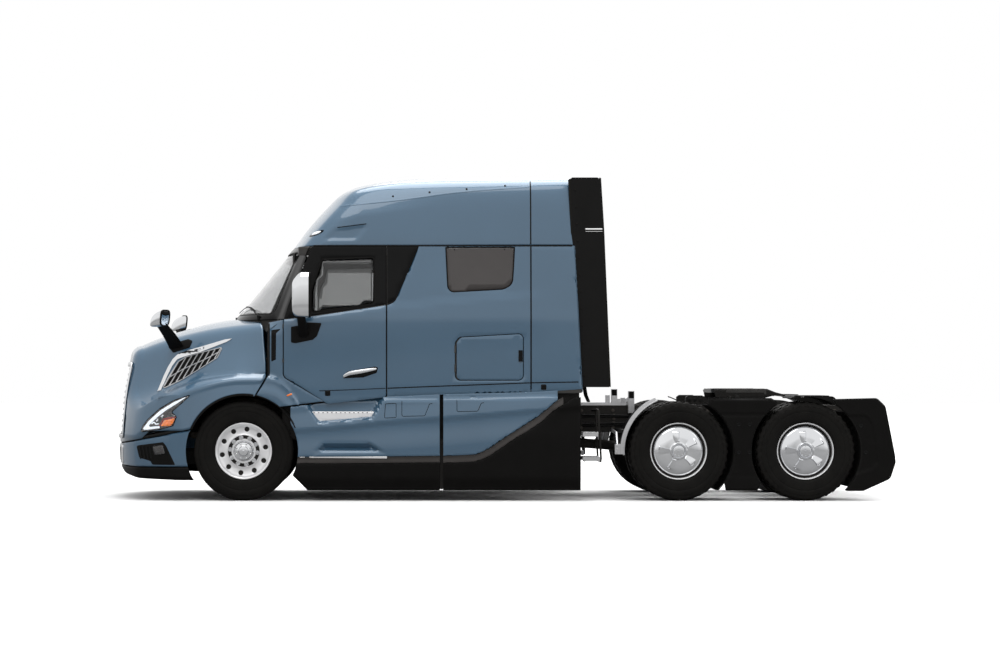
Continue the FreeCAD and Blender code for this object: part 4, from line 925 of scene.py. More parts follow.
def front_surface(a, z):
    """Front of the cab. a is about the distance to the right; beyond GLASS_A it is over the pillar."""
    c = abs(a) / GLASS_A if abs(a) < GLASS_A else 1 + (abs(a) - GLASS_A) / PILLAR_A
    p = plan(*(f(z) for f in cab_at), c)
    return Vector((p.x, math.copysign(p.y, a), z))


def skin_y(x, z):
    """Half width of the painted cab side: a shoulder under the belt line and a tucked lower edge."""
    under = belt_z(x) - z
    y = 5 + (SIDE_Y if z < BELT_Z else cab_at[4](z))
    y += 10 * step(0, 36, under) * (1 - 0.55 * step(150, 620, under)) * (1 - step(100, 600, x))
    y -= 1.5 * step(0, 34, sill_seam_z(x) - z)
    return y


front_place = with_normal(front_surface)
cab_place = side_of(skin_y)
frame_place = side_of(lambda x, z: 4 + (SIDE_Y if z < BELT_Z else cab_at[4](z)))

DOOR_LOW = [(-2271, 1889, 8), (-2271, 1310, 40), (-2251, 1279, 40), (-2104, 1195, 60), (-1812, 1007, 60),
            (-1700, 1019), (-1205, 1080, 30), (-1205, 2038, 8), (-1580, 1981), (-1997, 1918)]
DOOR_HIGH = [(-2270, 1897, 6), (-1978, 2654, 30), (-1205, 2654, 12), (-1205, 2045, 8), (-1580, 1988),
             (-1997, 1925)]
WINDOW = [(-1871, 2517, 30), (-1330, 2537, 30), (-1335, 2049, 40), (-1985, 1965, 30), (-1985, 2194, 60)]
SURROUND = [(-1193, 2046, 6), (-1111, 2092, 30), (-872, 2657, 6), (-1193, 2657, 6)]
SLEEPER = [(-583, 2642, 8), (137, 2642, 8), (124, 2400, 40), (112, 2255, 90), (20, 2205, 110),
           (-560, 2172, 70)]
LUGGAGE = [(-481, 1258, 50), (223, 1258, 50), (223, 1739, 50), (-440, 1700, 50), (-481, 1650, 50)]
SCREEN = [(-946, 1950, 70), (946, 1950, 70), (936, 2606, 60), (-936, 2606, 60)]


def edge_line(f, x0, x1, n, up=0.0):
    return [(x, f(x) + up) for x in np.linspace(x0, x1, n)]


RIBBON_FOOT = -1.7     # how far a strip starts below the surface it lies on


def ribbon(shape, path, place, width, height=1.0, closed=False):
    """A low strip along a path (a, b) on a surface, with slanted shoulders."""
    pts = [Vector(p) for p in path]
    n = len(pts)
    rows = []
    for i, p in enumerate(pts):
        a = pts[(i - 1) % n] if closed or i else p
        b = pts[(i + 1) % n] if closed or i < n - 1 else p
        t = (b - a).normalized()
        u = Vector((-t.y, t.x))
        for side, up in ((-0.5, RIBBON_FOOT), (-0.5, height * 0.6), (-0.3, height), (0.3, height),
                         (0.5, height * 0.6), (0.5, RIBBON_FOOT)):
            at, normal = place(*(p + u * width * side))
            rows.append(at + normal * up)
    faces = [(i * 6 + j, i * 6 + j + 1, ((i + 1) % n) * 6 + j + 1, ((i + 1) % n) * 6 + j)
             for i in range(n if closed else n - 1) for j in range(5)]
    shape.add(rows, faces)
    return shape


def well(x, z, loop, width):
    """0 outside a loop, 1 further in than a width."""
    p = np.array([[x, z]])
    return step(0, width, float(distance(p, loop)[0])) if inside(p, loop)[0] else 0.0


roof_crease_z = smooth((-1700, -1059, -431, 301, 760), (3085, 3146, 3226, 3280, 3300))


def make_roof():
    table = [row for row in CAB_SECTIONS if row[0] >= ROOF_Z]
    run = [0.0]
    for a, b in zip(table, table[1:]):
        run.append(run[-1] + math.dist(a[:2] + a[5:], b[:2] + b[5:]))
    at = [smooth(run, col) for col in zip(*table)]
    crease = smooth((-1732, -1059, -431, 301, 760), (2942, 3041, 3130, 3200, 3225))
    scoop = as_array(rounded([(-1832, 2745, 20), (-1729, 2850, 40), (-1400, 2882, 10), (-1500, 2728, 20),
                              (-1811, 2722, 20)], 20))
    levels = [run[-1] * (i / 60) ** 1.12 for i in range(61)]
    rings = []
    for u in levels:
        z, x0, x1, y1, x2, y2 = (f(u) for f in at)
        x3 = back_x(z)
        pts = [plan(x0, x1, y1, x2, y2, c) for c in np.linspace(0, 0.9, 15)]
        last = plan(x0, x1, y1, x2, y2, 1.0)
        corner(pts, pts[-1], last.lerp(Vector((x2, y2)), 0.45), Vector((x3, y2)), 200, 260, 10)
        start = pts[-1]
        for k in range(1, 44):
            pts.append(start.lerp(Vector((x3 - 36, y2)), (k / 44) ** 1.5))
        corner(pts, pts[-1], Vector((x3, y2)), Vector((x3, 0)), 30, 30, 5)
        for k in range(1, 7):
            pts.append(Vector((x3, lerp(pts[-1].y if k == 1 else y_last, 0, k / 6))))
            if k == 1:
                y_last = pts[-2].y
        ring = []
        for p in pts:
            over = 0.12 * max(0.0, z - crease(p.x)) * (1 - step(-1400, -500, p.x))
            over += 0.09 * max(0.0, z - roof_crease_z(p.x))
            over *= step(300, 900, abs(p.y)) * step(-1950, -1600, p.x)
            if p.x < -1300 and z < 2950:
                over += 9 * well(p.x, z, scoop, 16)
            ring.append(Vector((p.x, p.y - over, z)))
        rings.append(ring)
    for share, rise in ((0.66, 3), (0.33, 5), (0.0, 6)):
        rings.append([Vector((v.x, v.y * share, v.z + rise)) for v in rings[60]])
    verts, faces = two_halves([v for ring in rings for v in ring], grid_faces(len(rings), len(rings[0])))
    roof = new_piece("roof_shell", verts, faces, "paint", "chassis", "paint", 24.0, weld=1.0,
                     core=(-300, 0, 2800))
    thicken(roof, 6)
    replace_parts(roof, "roof_cap")
    return roof


def make_cab():
    # greenhouse front: black frame round the windscreen, the glass, and its rubber
    arc = [(a, SCREEN_Z) for a in np.linspace(-1196, 1196, 60)]
    outer = [Vector(p) for p in arc] + [Vector((1196, z)) for z in np.linspace(1960, 2600, 12)]
    outer += [Vector((a, 2656)) for a in np.linspace(1196, -1196, 60)]
    outer += [Vector((-1196, z)) for z in np.linspace(2600, 1960, 12)]
    screen = rounded(SCREEN, 40)
    panel("windscreen_frame", "chassis", outer, front_place, "gloss_black", [screen], "black_plastic",
          60, 5, 6, proud=4)
    glass = panel("windscreen_glass", "chassis", rounded([(-958, 1940, 70), (958, 1940, 70), (948, 2616, 60),
                                                          (-948, 2616, 60)], 50), front_place, "screen_glass",
                                                          (), "clear_glass", 70, 0.0, 5, proud=-3)
    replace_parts(glass, "windshield")
    shape = Shape()
    ribbon(shape, screen, front_place, 16, 4, True)
    shape.piece("windscreen_rubber", "black_plastic", "chassis", "black_plastic", 30)

    window = rounded(WINDOW, 25)
    pair_of(panel("door_skin_left", "door_left", rounded(DOOR_LOW, 30), cab_place, "paint", (), "paint", 32,
                  6, 5),
            "door_right")
    pair_of(panel("door_frame_left", "door_left", rounded(DOOR_HIGH, 30), frame_place, "gloss_black",
                  [window], "black_plastic", 50, 4, 4), "door_right")
    glass = panel("door_glass_left", "door_left", [Vector(p) for p in shrunk(window, -8)], frame_place,
                  "glass", (), "clear_glass", 60, 0, 5, proud=-7)
    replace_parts(glass, "door_window_left")
    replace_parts(pair_of(glass, "door_right"), "door_window_right")
    shape = ribbon(Shape(), window, frame_place, 14, 3, True)
    pair_of(shape.piece("door_rubber_left", "black_plastic", "door_left", "black_plastic", 30), "door_right")

    low = edge_line(lower_seam_z, -1193, SEAM_X - 2, 24, -14)
    side_outer = [Vector(p) for p in low] + [Vector((SEAM_X - 2, z)) for z in np.linspace(1190, 2640, 36)]
    side_outer += [Vector((x, EAVE_Z)) for x in np.linspace(SEAM_X - 2, -866, 28)]
    side_outer += [Vector((-872, 2652)), Vector((-990, 2374)), Vector((-1103, 2108)), Vector((-1111, 2088)),
                   Vector((-1193, 2038))]
    side_outer += [Vector((-1193, z)) for z in np.linspace(2000, 1120, 24)]
    luggage_hole = shrunk(rounded(LUGGAGE, 25), -6)
    sleeper = rounded(SLEEPER, 25)
    pair_of(panel("cab_side_skin_left", "chassis", side_outer, cab_place, "paint",
                  [luggage_hole, sleeper], "paint", 44, 5, 5))
    pair_of(panel("cab_surround_left", "chassis", rounded(SURROUND, 30), frame_place, "gloss_black", (),
                  "black_plastic", 60, 4, 4))
    hinged = [(-469, 1258, 50), (223, 1258, 50), (223, 1739, 50), (-428, 1701, 50), (-469, 1650, 50)]
    pair_of(panel("luggage_skin_left", "luggage_door_left", rounded(hinged, 25), cab_place, "paint", (),
                  "paint", 40, 6, 5), "luggage_door_right")
    glass = panel("sleeper_glass_left", "chassis", [Vector(p) for p in shrunk(sleeper, -6)], frame_place,
                  "tinted_glass", (), "tinted_glass", 60, 0, 6, proud=-1)
    for pane in (glass, pair_of(glass)):
        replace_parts(pane, "sleeper_windows")
    shape = ribbon(Shape(), sleeper, cab_place, 9, 2.5, True)
    pair_of(shape.piece("sleeper_rubber_left", "black_plastic", "chassis", "black_plastic", 30))
    rear = [Vector(p) for p in edge_line(lower_seam_z, SEAM_X + 2, 838, 10, -14)]
    rear += [Vector((back_x(z) + 4, z)) for z in np.linspace(1210, EAVE_Z, 30)]
    rear += [Vector((x, EAVE_Z)) for x in np.linspace(740, SEAM_X + 2, 10)]
    rear += [Vector((SEAM_X + 2, z)) for z in np.linspace(2620, 1190, 30)]
    pair_of(panel("cab_rear_skin_left", "chassis", rear, cab_place, "paint", (), "paint", 44, 5, 5))

    back = [Vector((y, 1130)) for y in np.linspace(-1186, 1186, 40)]
    back += [Vector((1186, z)) for z in np.linspace(1180, 1890, 12)] + [Vector((cab_at[4](z), z))
                                                                      for z in np.linspace(1940, 2655, 12)]
    back += [Vector((y, EAVE_Z)) for y in np.linspace(1148, -1148, 40)]
    back += [Vector((-cab_at[4](z), z)) for z in np.linspace(2655, 1940, 12)]
    back += [Vector((-1186, z)) for z in np.linspace(1890, 1180, 12)]

    def back_surface(y, z):
        panel_y = abs((abs(y) % 580) - 290)
        inset = 9 * step(0, 26, min(panel_y - 24, z - 1250, 2560 - z)) if abs(y) < 1100 else 0
        return Vector((back_x(z) + 4 + 9 - inset, y, z)), Vector((1, 0, 0))
    panel("cab_back_skin", "chassis", back, back_surface, "paint", (), "paint", 34, 6, 5, sharp=24)


roof = make_roof()
make_cab()


# ---- bumper, grille and headlamps -----------------------------------------------------------
def nose_surface(y, z):
    return Vector((nose_x(y, z), y, z))


def nose_place(y, z):
    p = nose_surface(y, z)
    n = (nose_surface(y + 3, z) - nose_surface(y - 3, z)).cross(nose_surface(y, z + 3) - nose_surface(y,
                                                                                                      z - 3))
    return p, (n if n.x < 0 or n.y * y > 0 else -n).normalized()


BUMPER_TOP = line([(-4300, 584), (-4040, 587), (-3850, 622), (-3540, 681), (-3212, 743), (-3100, 745)])
BUMPER_LIP = line([(-4300, 366), (-3990, 356), (-3850, 352), (-3276, 356), (-3100, 356)])
BUMPER_LOW = line([(-4300, 300), (-4070, 296), (-3990, 258), (-3850, 226), (-3400, 214), (-3100, 212)])


def make_bumper():
    ys = np.concatenate([np.linspace(0, 1000, 30), np.linspace(1018, 1234, 22)])
    rows = 26

    def sheet(name, top, low, mat, slot, proud, round_top, round_low):
        def down(x):
            """Heights down one column at x, each with how far the rounded edges fall back there."""
            z0, z1 = low(x), top(x)
            for i in range(rows):
                z = lerp(z1, z0, i / (rows - 1))
                yield z, sum(r - math.sqrt(max(0, r * r - (r - d) ** 2))
                             for r, d in ((round_top, z1 - z), (round_low, z - z0)) if d < r)

        verts = []
        for y in ys:
            for z, drop in down(nose_x(y, 480)):
                p, n = nose_place(y, z)
                verts.append(p + n * (proud - drop))
        # the outer end runs back along the side to the wheel arch
        for x in np.linspace(verts[-1].x + 20, -3206, 12):
            for z, drop in down(x):
                limit = FRONT_AXLE_X - math.sqrt(max(0, ARCH_R ** 2 - (z - AXLE_Z) ** 2))
                verts.append(Vector((min(x, limit), HALF_WIDTH - 3 + proud - drop, z)))
        piece = new_piece(name, *two_halves(verts, grid_faces(len(verts) // rows, rows)), mat, "chassis",
                          slot, 30, weld=1.0, core=(-3300, 0, 400))
        return thicken(piece, 6)

    blue = sheet("bumper_skin", BUMPER_TOP, BUMPER_LIP, "paint", "paint", 0, 14, 6)
    sheet("bumper_lip", lambda x: BUMPER_LIP(x) - 3, BUMPER_LOW, "black_plastic", "black_plastic", -4, 22, 40)
    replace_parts(blue, "front_bumper")
    on_bumper = ray_place(blue, (1, 0, 0), -5000.0, "yz")
    side_bumper = ray_place(blue)

    # bright centre section with a louvred intake
    centre = rounded([(-725, 568, 24), (725, 568, 24), (712, 372, 30), (-712, 372, 30)], 30)
    intake = rounded([(-520, 536, 26), (520, 536, 26), (490, 402, 30), (-490, 402, 30)], 30)
    panel("bumper_centre", "chassis", centre, on_bumper, "chrome", [intake], "chrome", 60, 6, 6, proud=7)
    panel("bumper_intake", "chassis", intake, on_bumper, "black_plastic", (), "black_plastic", 60, 0, 3,
          proud=1.5)
    shape = Shape()
    for z in np.linspace(412, 526, 6):
        ribbon(shape, [(y, z) for y in np.linspace(-500, 500, 30)], on_bumper, 11, 9)
    shape.piece("bumper_louvres", "black_plastic", "chassis", "black_plastic", 30)

    # fog lamp recess at each corner
    recess = rounded([(-3822, 572, 20), (-3526, 612, 14), (-3491, 570, 40), (-3396, 374, 8), (-3644, 374, 20),
                      (-3665, 412, 20), (-3790, 446, 20)], 25)
    put = panel("bumper_recess_left", "chassis", recess, side_bumper, "black_plastic", (), "black_plastic",
                40, 3, 2, proud=2.5)
    pair_of(put)
    shape = Shape()
    for x in (-3788, -3751, -3714, -3677):
        ribbon(shape, [(x, 562 + (x + 3788) * 0.1), (x + 22, 436)], side_bumper, 22, 10)
    left = shape.piece("corner_louvres_left", "gloss_black", "chassis", "black_plastic", 30)
    pair_of(left)
    lamp = rounded([(-3638, 566, 14), (-3530, 580, 14), (-3500, 492, 14), (-3618, 478, 14)], 12)
    for name, mat, proud, by, slot in (("fog_bezel", "gloss_black", 4.5, -8, "black_plastic"),
                                       ("fog_reflector", "grey_trim", 5.5, 4, "lamp"),
                                       ("fog_lens", "lens", 9, 2, "lamp")):
        left = panel(f"{name}_left", "chassis", [Vector(p) for p in shrunk(lamp, by)], side_bumper, mat, (),
                     slot, 30, 2, 2, proud=proud)
        pair_of(left)


def make_grille():
    bars = Shape()
    edge = line([(640, 706), (1080, 684), (1455, 626)])      # half width at a height
    for i in range(12):
        z = 702 + i * 62
        w = edge(z) - 46
        rows = []
        for y in np.linspace(-w, w, 33):
            x = nose_x(y, z)
            rows += [Vector((x + 10 + dx, y, z + dz)) for dx, dz in ((4, -9), (-1, -15), (-6, -10), (-3, 6),
                                                                     (6, 13), (14, 8))]
        bars.add(rows, grid_faces(33, 6, True) + [tuple(range(6)), tuple(range(len(rows) - 6, len(rows)))])
    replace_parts(bars.piece("grille_bars", "chrome", "hood", "chrome", 35), "grille")

    outline = rounded([(-655, 1452, 60), (655, 1452, 60), (712, 1080, 80), (735, 634, 42), (-735, 634, 42),
                       (-712, 1080, 80)], 30)
    panel("grille_surround", "hood", outline, nose_place, "chrome", [shrunk(outline, 50)], "chrome",
          50, 9, 14, proud=15)
    net = Shape()
    hole = [Vector(p) for p in shrunk(outline, 20)]
    points, tris, _ = flat_mesh(hole, (), 60)
    net.add([Vector((nose_x(y, z) + 32, y, z)) for y, z in points], tris.tolist())
    for i in range(-18, 19):
        y = i * 36
        top = 1430 - max(0, abs(y) - 560) * 2.2
        pts = [Vector((nose_x(y, z) + 24, y, z)) for z in np.linspace(660, top, 14)]
        net.tube(pts, 4.5, 6)
    net.piece("grille_net", "black_plastic", "hood", "black_plastic", 30)


def make_headlamps():
    lamp = [(-3772, 712, 14), (-3750, 778, 20), (-3690, 850, 30), (-3560, 962, 40), (-3414, 1046, 40),
            (-3238, 1104, 4), (-3340, 1010, 30), (-3440, 922, 16), (-3384, 880, 12), (-3420, 782, 16),
            (-3560, 744, 20)]
    outline = rounded(lamp, 14)
    parts = (("headlamp_bowl", "grey_trim", 0, 1.0, "black_plastic", 3),
             ("headlamp_lens", "lens", 3, 9.0, "lamp", 3))
    for name, mat, by, proud, slot, thick in parts:
        left = panel(f"{name}_left", "hood", [Vector(p) for p in shrunk(outline, by)], on_hood, mat, (), slot,
                     26, 3, thick, proud=proud)
        pair_of(left, "hood")
        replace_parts(left, "headlamps")
    hook = rounded([(-3262, 1093, 3), (-3414, 1026, 30), (-3560, 938, 40), (-3680, 832, 20), (-3756, 738, 12),
                    (-3700, 738, 10), (-3562, 756, 5), (-3564, 778, 5), (-3672, 768, 12), (-3678, 786, 12),
                    (-3590, 868, 30), (-3500, 938, 40), (-3390, 1006, 30)], 12)
    led = panel("daylight_left", "hood", hook, on_hood, "led", (), "lamp", 16, 2, 2, proud=5)
    pair_of(led, "hood")
    hook = ribbon(Shape(), rounded([(-3650, 800, 8), (-3622, 822, 14), (-3606, 796, 8), (-3572, 802, 8)], 8,
                                   closed=False), on_hood, 12, 6.5)
    pair_of(hook.piece("daylight_hook_left", "led", "hood", "lamp", 30), "hood")
    rim = ribbon(Shape(), [(-3566, 778), (-3524, 850), (-3440, 868), (-3392, 872)], on_hood, 10, 6.0)
    pair_of(rim.piece("side_reflector_left", "red_lens", "hood", "lamp", 30), "hood")
    amber = rounded([(-3554, 776, 6), (-3512, 842, 8), (-3398, 862, 8), (-3422, 806, 8), (-3450, 780, 6)], 10)
    left = panel("indicator_left", "hood", amber, on_hood, "amber", (), "lamp", 20, 3, 3, proud=6)
    pair_of(left, "hood")
    shape = Shape()
    for x, z, r in ((-3590, 838, 17), (-3536, 882, 17)):
        at, n = on_hood(x, z)
        u = n.orthogonal().normalized()
        w = n.cross(u)
        rings = [[at + (u * math.cos(t) + w * math.sin(t)) * rr + n * h for t in np.linspace(0, 2 * math.pi,
                                                                                             25)[:-1]]
                 for rr, h in ((r, 7), (r * 0.92, 7.5), (r * 0.8, 2), (r * 0.55, -1), (r * 0.5, 4),
                               (r * 0.3, 6.5), (1, 7))]
        loft(shape, rings, False)
    left = shape.piece("projectors_left", "chrome", "hood", "lamp", 30)
    pair_of(left, "hood")
    edge = ribbon(Shape(), outline, on_hood, 9, 2.5, True)
    left = edge.piece("headlamp_gasket_left", "black_plastic", "hood", "black_plastic", 30)
    pair_of(left, "hood")


make_bumper()
make_grille()
make_headlamps()


# ---- side fairings and steps ----------------------------------------------------------------
split_z = smooth((-2110, -612, -280, -207, -124, -20, 188, 396, 584, 640),
                 (455, 468, 483, 509, 551, 624, 759, 894, 1050, 1085))
upper_crease_z = smooth((-2110, -1684, -1205, -644, -228, 396, 830), (738, 769, 821, 858, 894, 946, 980))
skirt_top_z = line([(-2110, 1046), (-644, 1050), (828, 1081)])


UPPER_WELL = np.array([(-2060, 1010), (-1915, 800), (-1340, 850), (-1225, 1060), (-1230, 1120),
                       (-2060, 1120)], float)
LOWER_WELL = np.array([(-1960, 500), (-1850, 606), (-1372, 606), (-1190, 500)], float)


def skirt_y(x, z):
    """Outer face of the fairings: a crease high up, a scoop at each step, and a tucked lower edge."""
    y = HALF_WIDTH
    up = z - upper_crease_z(x)
    y -= 14 * step(0, 190, up) if up > 0 else 9 * step(0, 26, -up) - 9 * step(60, 300, -up)
    y -= 18 * step(-4, 18, z - skirt_top_z(x))
    y -= 22 * step(0, 150, 254 - z)
    y -= 9 * step(0, 12, split_z(x) - z)
    if -2100 < x < -1180:
        y -= 70 * well(x, z, UPPER_WELL, 46) + 60 * well(x, z, LOWER_WELL, 60)
    return y


skirt_place = side_of(skirt_y)


def front_edge_x(z):
    """Rear side of the front wheel arch, and the slanted foot below it."""
    if z < 270:
        return -2027 - (z - 114)
    return FRONT_AXLE_X + math.sqrt(max(0, (SKIRT_ARCH_R + 4) ** 2 - (z - AXLE_Z) ** 2))


def make_skirts():
    def band(name, x0, x1, low, high, mat, slot, front):
        """One run of the fairing between two heights; a front one is cut back by the wheel arch."""
        xs = np.linspace(x0, x1, max(6, int((x1 - x0) / 30)))
        outer = [Vector((x, low(x))) for x in xs]
        outer += [Vector((x1, z)) for z in np.linspace(low(x1), high(x1), 14)[1:-1]]
        outer += [Vector((x, high(x))) for x in reversed(xs)]
        outer += [Vector((x0, z)) for z in np.linspace(high(x0), low(x0), 24)[1:-1]]
        if front:
            outer = [Vector((max(p.x, front_edge_x(p.y)), p.y)) for p in outer]
        left = panel(name + "_left", "chassis", outer, skirt_place, mat, (), slot, 22, 5, 5)
        pair_of(left)
        return left

    def top(x):
        return lower_seam_z(x) - 8

    front_skin = band("fairing_front", -2200, -646, lambda x: split_z(x) + 2, top, "paint", "paint", True)
    band("fairing_front_lower", -2200, -646, lambda x: 109, lambda x: split_z(x) - 66, "black_plastic",
         "black_plastic", True)
    band("fairing_front_strip", -2200, -646, lambda x: split_z(x) - 66, lambda x: split_z(x), "grey_trim",
         "black_plastic", True)
    rear_skin = band("fairing_rear", -610, 582, lambda x: split_z(x) + 2,
                     lambda x: max(top(x), split_z(x) + 6), "paint", "paint", False)
    band("fairing_rear_strip", -610, 640, lambda x: split_z(x) - 72 - 10 * step(-300, 0, x),
         lambda x: split_z(x), "grey_trim", "black_plastic", False)
    band("fairing_rear_lower", -610, 822, lambda x: 109,
         lambda x: min(split_z(x) - 72 - 10 * step(-300, 0, x), 1081), "black_plastic", "black_plastic",
         False)
    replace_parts(front_skin, "front_skirts")
    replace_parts(rear_skin, "rear_skirts")

    # treads: a slanted bright step in the upper scoop and a flat bar in the lower one
    for name, loop, proud, inset in (
            ("upper_tread", [(-2037, 930, 8), (-1306, 930, 8), (-1352, 860, 22), (-1910, 826, 22)], 10, 62),
            ("lower_tread", [(-2006, 494, 8), (-1190, 474, 8), (-1196, 440, 8), (-2004, 448, 8)], 16, 18)):
        loop = rounded(loop, 16)
        left = panel(name + "_left", "chassis", loop, lambda x, z: (Vector((x, inset - HALF_WIDTH, z)), -Y),
                     "polished_aluminium", (), "polished_aluminium", 24, 6, 60, proud=proud)
        mirrored(left, name + "_right", "chassis")
        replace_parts(left, "steps")
    grip = Shape()
    for x in np.arange(-1960, -1380, 46):
        grip.tube([(x, -(HALF_WIDTH - 50), 918), (x + 14, -(HALF_WIDTH - 50), 918)], 4, 8)
    for x in np.arange(-1975, -1230, 31):
        grip.tube([(x, -(HALF_WIDTH - 4), 468), (x + 16, -(HALF_WIDTH - 4), 468)], 4, 8)
    left = grip.piece("step_grips_left", "black_plastic", "chassis", "black_plastic", 30)
    pair_of(left)

    # painted shade: thin gloss-black lines round the hatch and recess outlines of the fairings stand for the
    # shade in their gaps and edges
    lines = Shape()
    for loop in ([(-1210, 1010, 10), (-1100, 1016, 10), (-1100, 868, 10), (-1222, 862, 14)],
                 [(-1040, 1040, 4), (-1040, 880, 20), (-800, 886, 26), (-752, 1010, 14), (-724, 1014, 4)],
                 [(-467, 1046, 4), (-467, 930, 16), (-250, 934, 20), (-214, 1018, 14), (-186, 1022, 4)]):
        ribbon(lines, rounded(loop, 14, closed=len(loop) == 4), skirt_place, 6, 0.6, closed=len(loop) == 4)
    left = lines.piece("fairing_lines_left", "gloss_black", "chassis", "black_plastic", 30)
    pair_of(left)


make_skirts()


# ---- hood details, wheel wells and cowl -----------------------------------------------------
on_roof = ray_place(roof)


def swept(x, angles, section):
    """Rings of a section of (radius, y), carried through angles about an axle at x."""
    return [[Vector((x + r * math.cos(a), y, AXLE_Z + r * math.sin(a))) for r, y in section] for a in angles]


def make_vents():
    grid = rounded([(-3558, 1163, 10), (-3431, 1221), (-3336, 1268), (-3241, 1326), (-3136, 1390),
                    (-3030, 1458), (-2978, 1490, 20), (-2925, 1601, 10), (-3167, 1543), (-3326, 1495),
                    (-3400, 1448, 40), (-3505, 1279)], 16)
    loop = as_array(grid)
    pair_of(panel("vent_net_left", "hood", grid, on_hood, "black_plastic", (), "black_plastic", 30, 2, 2,
                  proud=2),
            "hood")
    bars = Shape()
    for i in range(9):
        foot, lean = Vector((-3590 + i * 74, 1110 + i * 36)), Vector((0.50, 0.87))
        run = [foot + lean * d for d in np.arange(0, 420, 12)]
        keep = [p for p, ok in zip(run, inside(as_array(run), loop)) if ok]
        if len(keep) > 3:
            ribbon(bars, keep, on_hood, 11, 11)
    middle = [Vector(p) for p in zip(np.linspace(-3530, -2930, 40), np.interp(
        np.linspace(-3530, -2930, 40), (-3530, -3340, -3120, -2930), (1262, 1372, 1468, 1566)))]
    ribbon(bars, [p for p, ok in zip(middle, inside(as_array(middle), loop)) if ok], on_hood, 10, 9)
    ribbon(bars, grid, on_hood, 9, 8, True)
    pair_of(bars.piece("vent_bars_left", "satin_aluminium", "hood", "satin_aluminium", 30), "hood")
    outer = [(-3616, 1134, 4), (-3574, 1146, 4), (-3512, 1300), (-3462, 1404), (-3410, 1474, 60),
             (-3340, 1500, 60), (-3160, 1550), (-3009, 1606), (-2880, 1656), (-2812, 1696, 4), (-2900, 1684),
             (-3009, 1652), (-3167, 1606), (-3300, 1570), (-3400, 1538, 60), (-3462, 1478, 60), (-3512, 1394),
             (-3556, 1298)]
    pair_of(panel("vent_frame_left", "hood", rounded(outer, 16), on_hood, "chrome", (), "chrome", 24, 5, 3,
                  proud=9),
            "hood")


def make_hood_mirrors():
    plate = rounded([(-3516, 1607, 8), (-3459, 1545, 14), (-3281, 1600, 20), (-3250, 1672, 14),
                     (-3300, 1690, 14), (-3480, 1640, 14)], 12)
    pair_of(panel("hood_mirror_plate_left", "hood", plate, on_hood, "black_plastic", (), "black_plastic", 24,
                  6, 8, proud=9), "hood")
    arm = Shape()
    rings = [oval(at_, X, Vector((0, 0.56, -0.83)), a, b, 3.0, 24) for at_, a, b in
             ((Vector((-3421, -775, 1600)).lerp(Vector((-3555, -1130, 1842)),
                                                t) + Z * 14 * math.sin(math.pi * t),
               lerp(80, 58, t), lerp(26, 17, t)) for t in np.linspace(0, 1, 12))]
    loft(arm, rings)
    pair_of(arm.piece("hood_mirror_arm_left", "black_plastic", "hood", "black_plastic", 40), "hood")
    across = Vector((0.42, 0.91, 0)).normalized()
    rim, tip = Vector((-3512, -1150, 1906)), Vector((-3656, -1155, 1872))
    upright = Vector((0.10, 0, 1)).normalized()
    shell = Shape()
    rings = []
    for t in np.linspace(0, 0.985, 14):
        k = (1 - t ** 2.2) ** (1 / 2.2)
        at = rim.lerp(tip, t) - Z * 40 * t * (1 - k)
        rings.append(oval(at, across, upright, 92 * k, 84 * k, 3.4, 36))
    loft(shell, rings)
    head = shell.piece("hood_mirror_head_left", "chrome", "hood", "chrome", 50)
    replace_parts(head, "hood_mirrors")
    pair_of(head, "hood")
    facing = across.cross(upright)
    facing = facing if facing.x > 0 else -facing
    edge = Shape()
    loft(edge, [oval(rim + facing * d, across, upright, 92 + g, 84 + g, 3.4, 36)
                for d, g in ((-10, 3), (6, 4), (9, 0), (9, -9), (2, -11))], False)
    pair_of(edge.piece("hood_mirror_rim_left", "black_plastic", "hood", "black_plastic", 35), "hood")
    glass = Shape()
    loft(glass, [oval(rim + facing * d, across, upright, a, b, 3.4, 36)
                 for d, a, b in ((3, 82, 74), (4, 50, 45), (4.6, 20, 18), (4.7, 1, 1))], False)
    pair_of(glass.piece("hood_mirror_glass_left", "mirror", "hood", "chrome", 60), "hood")


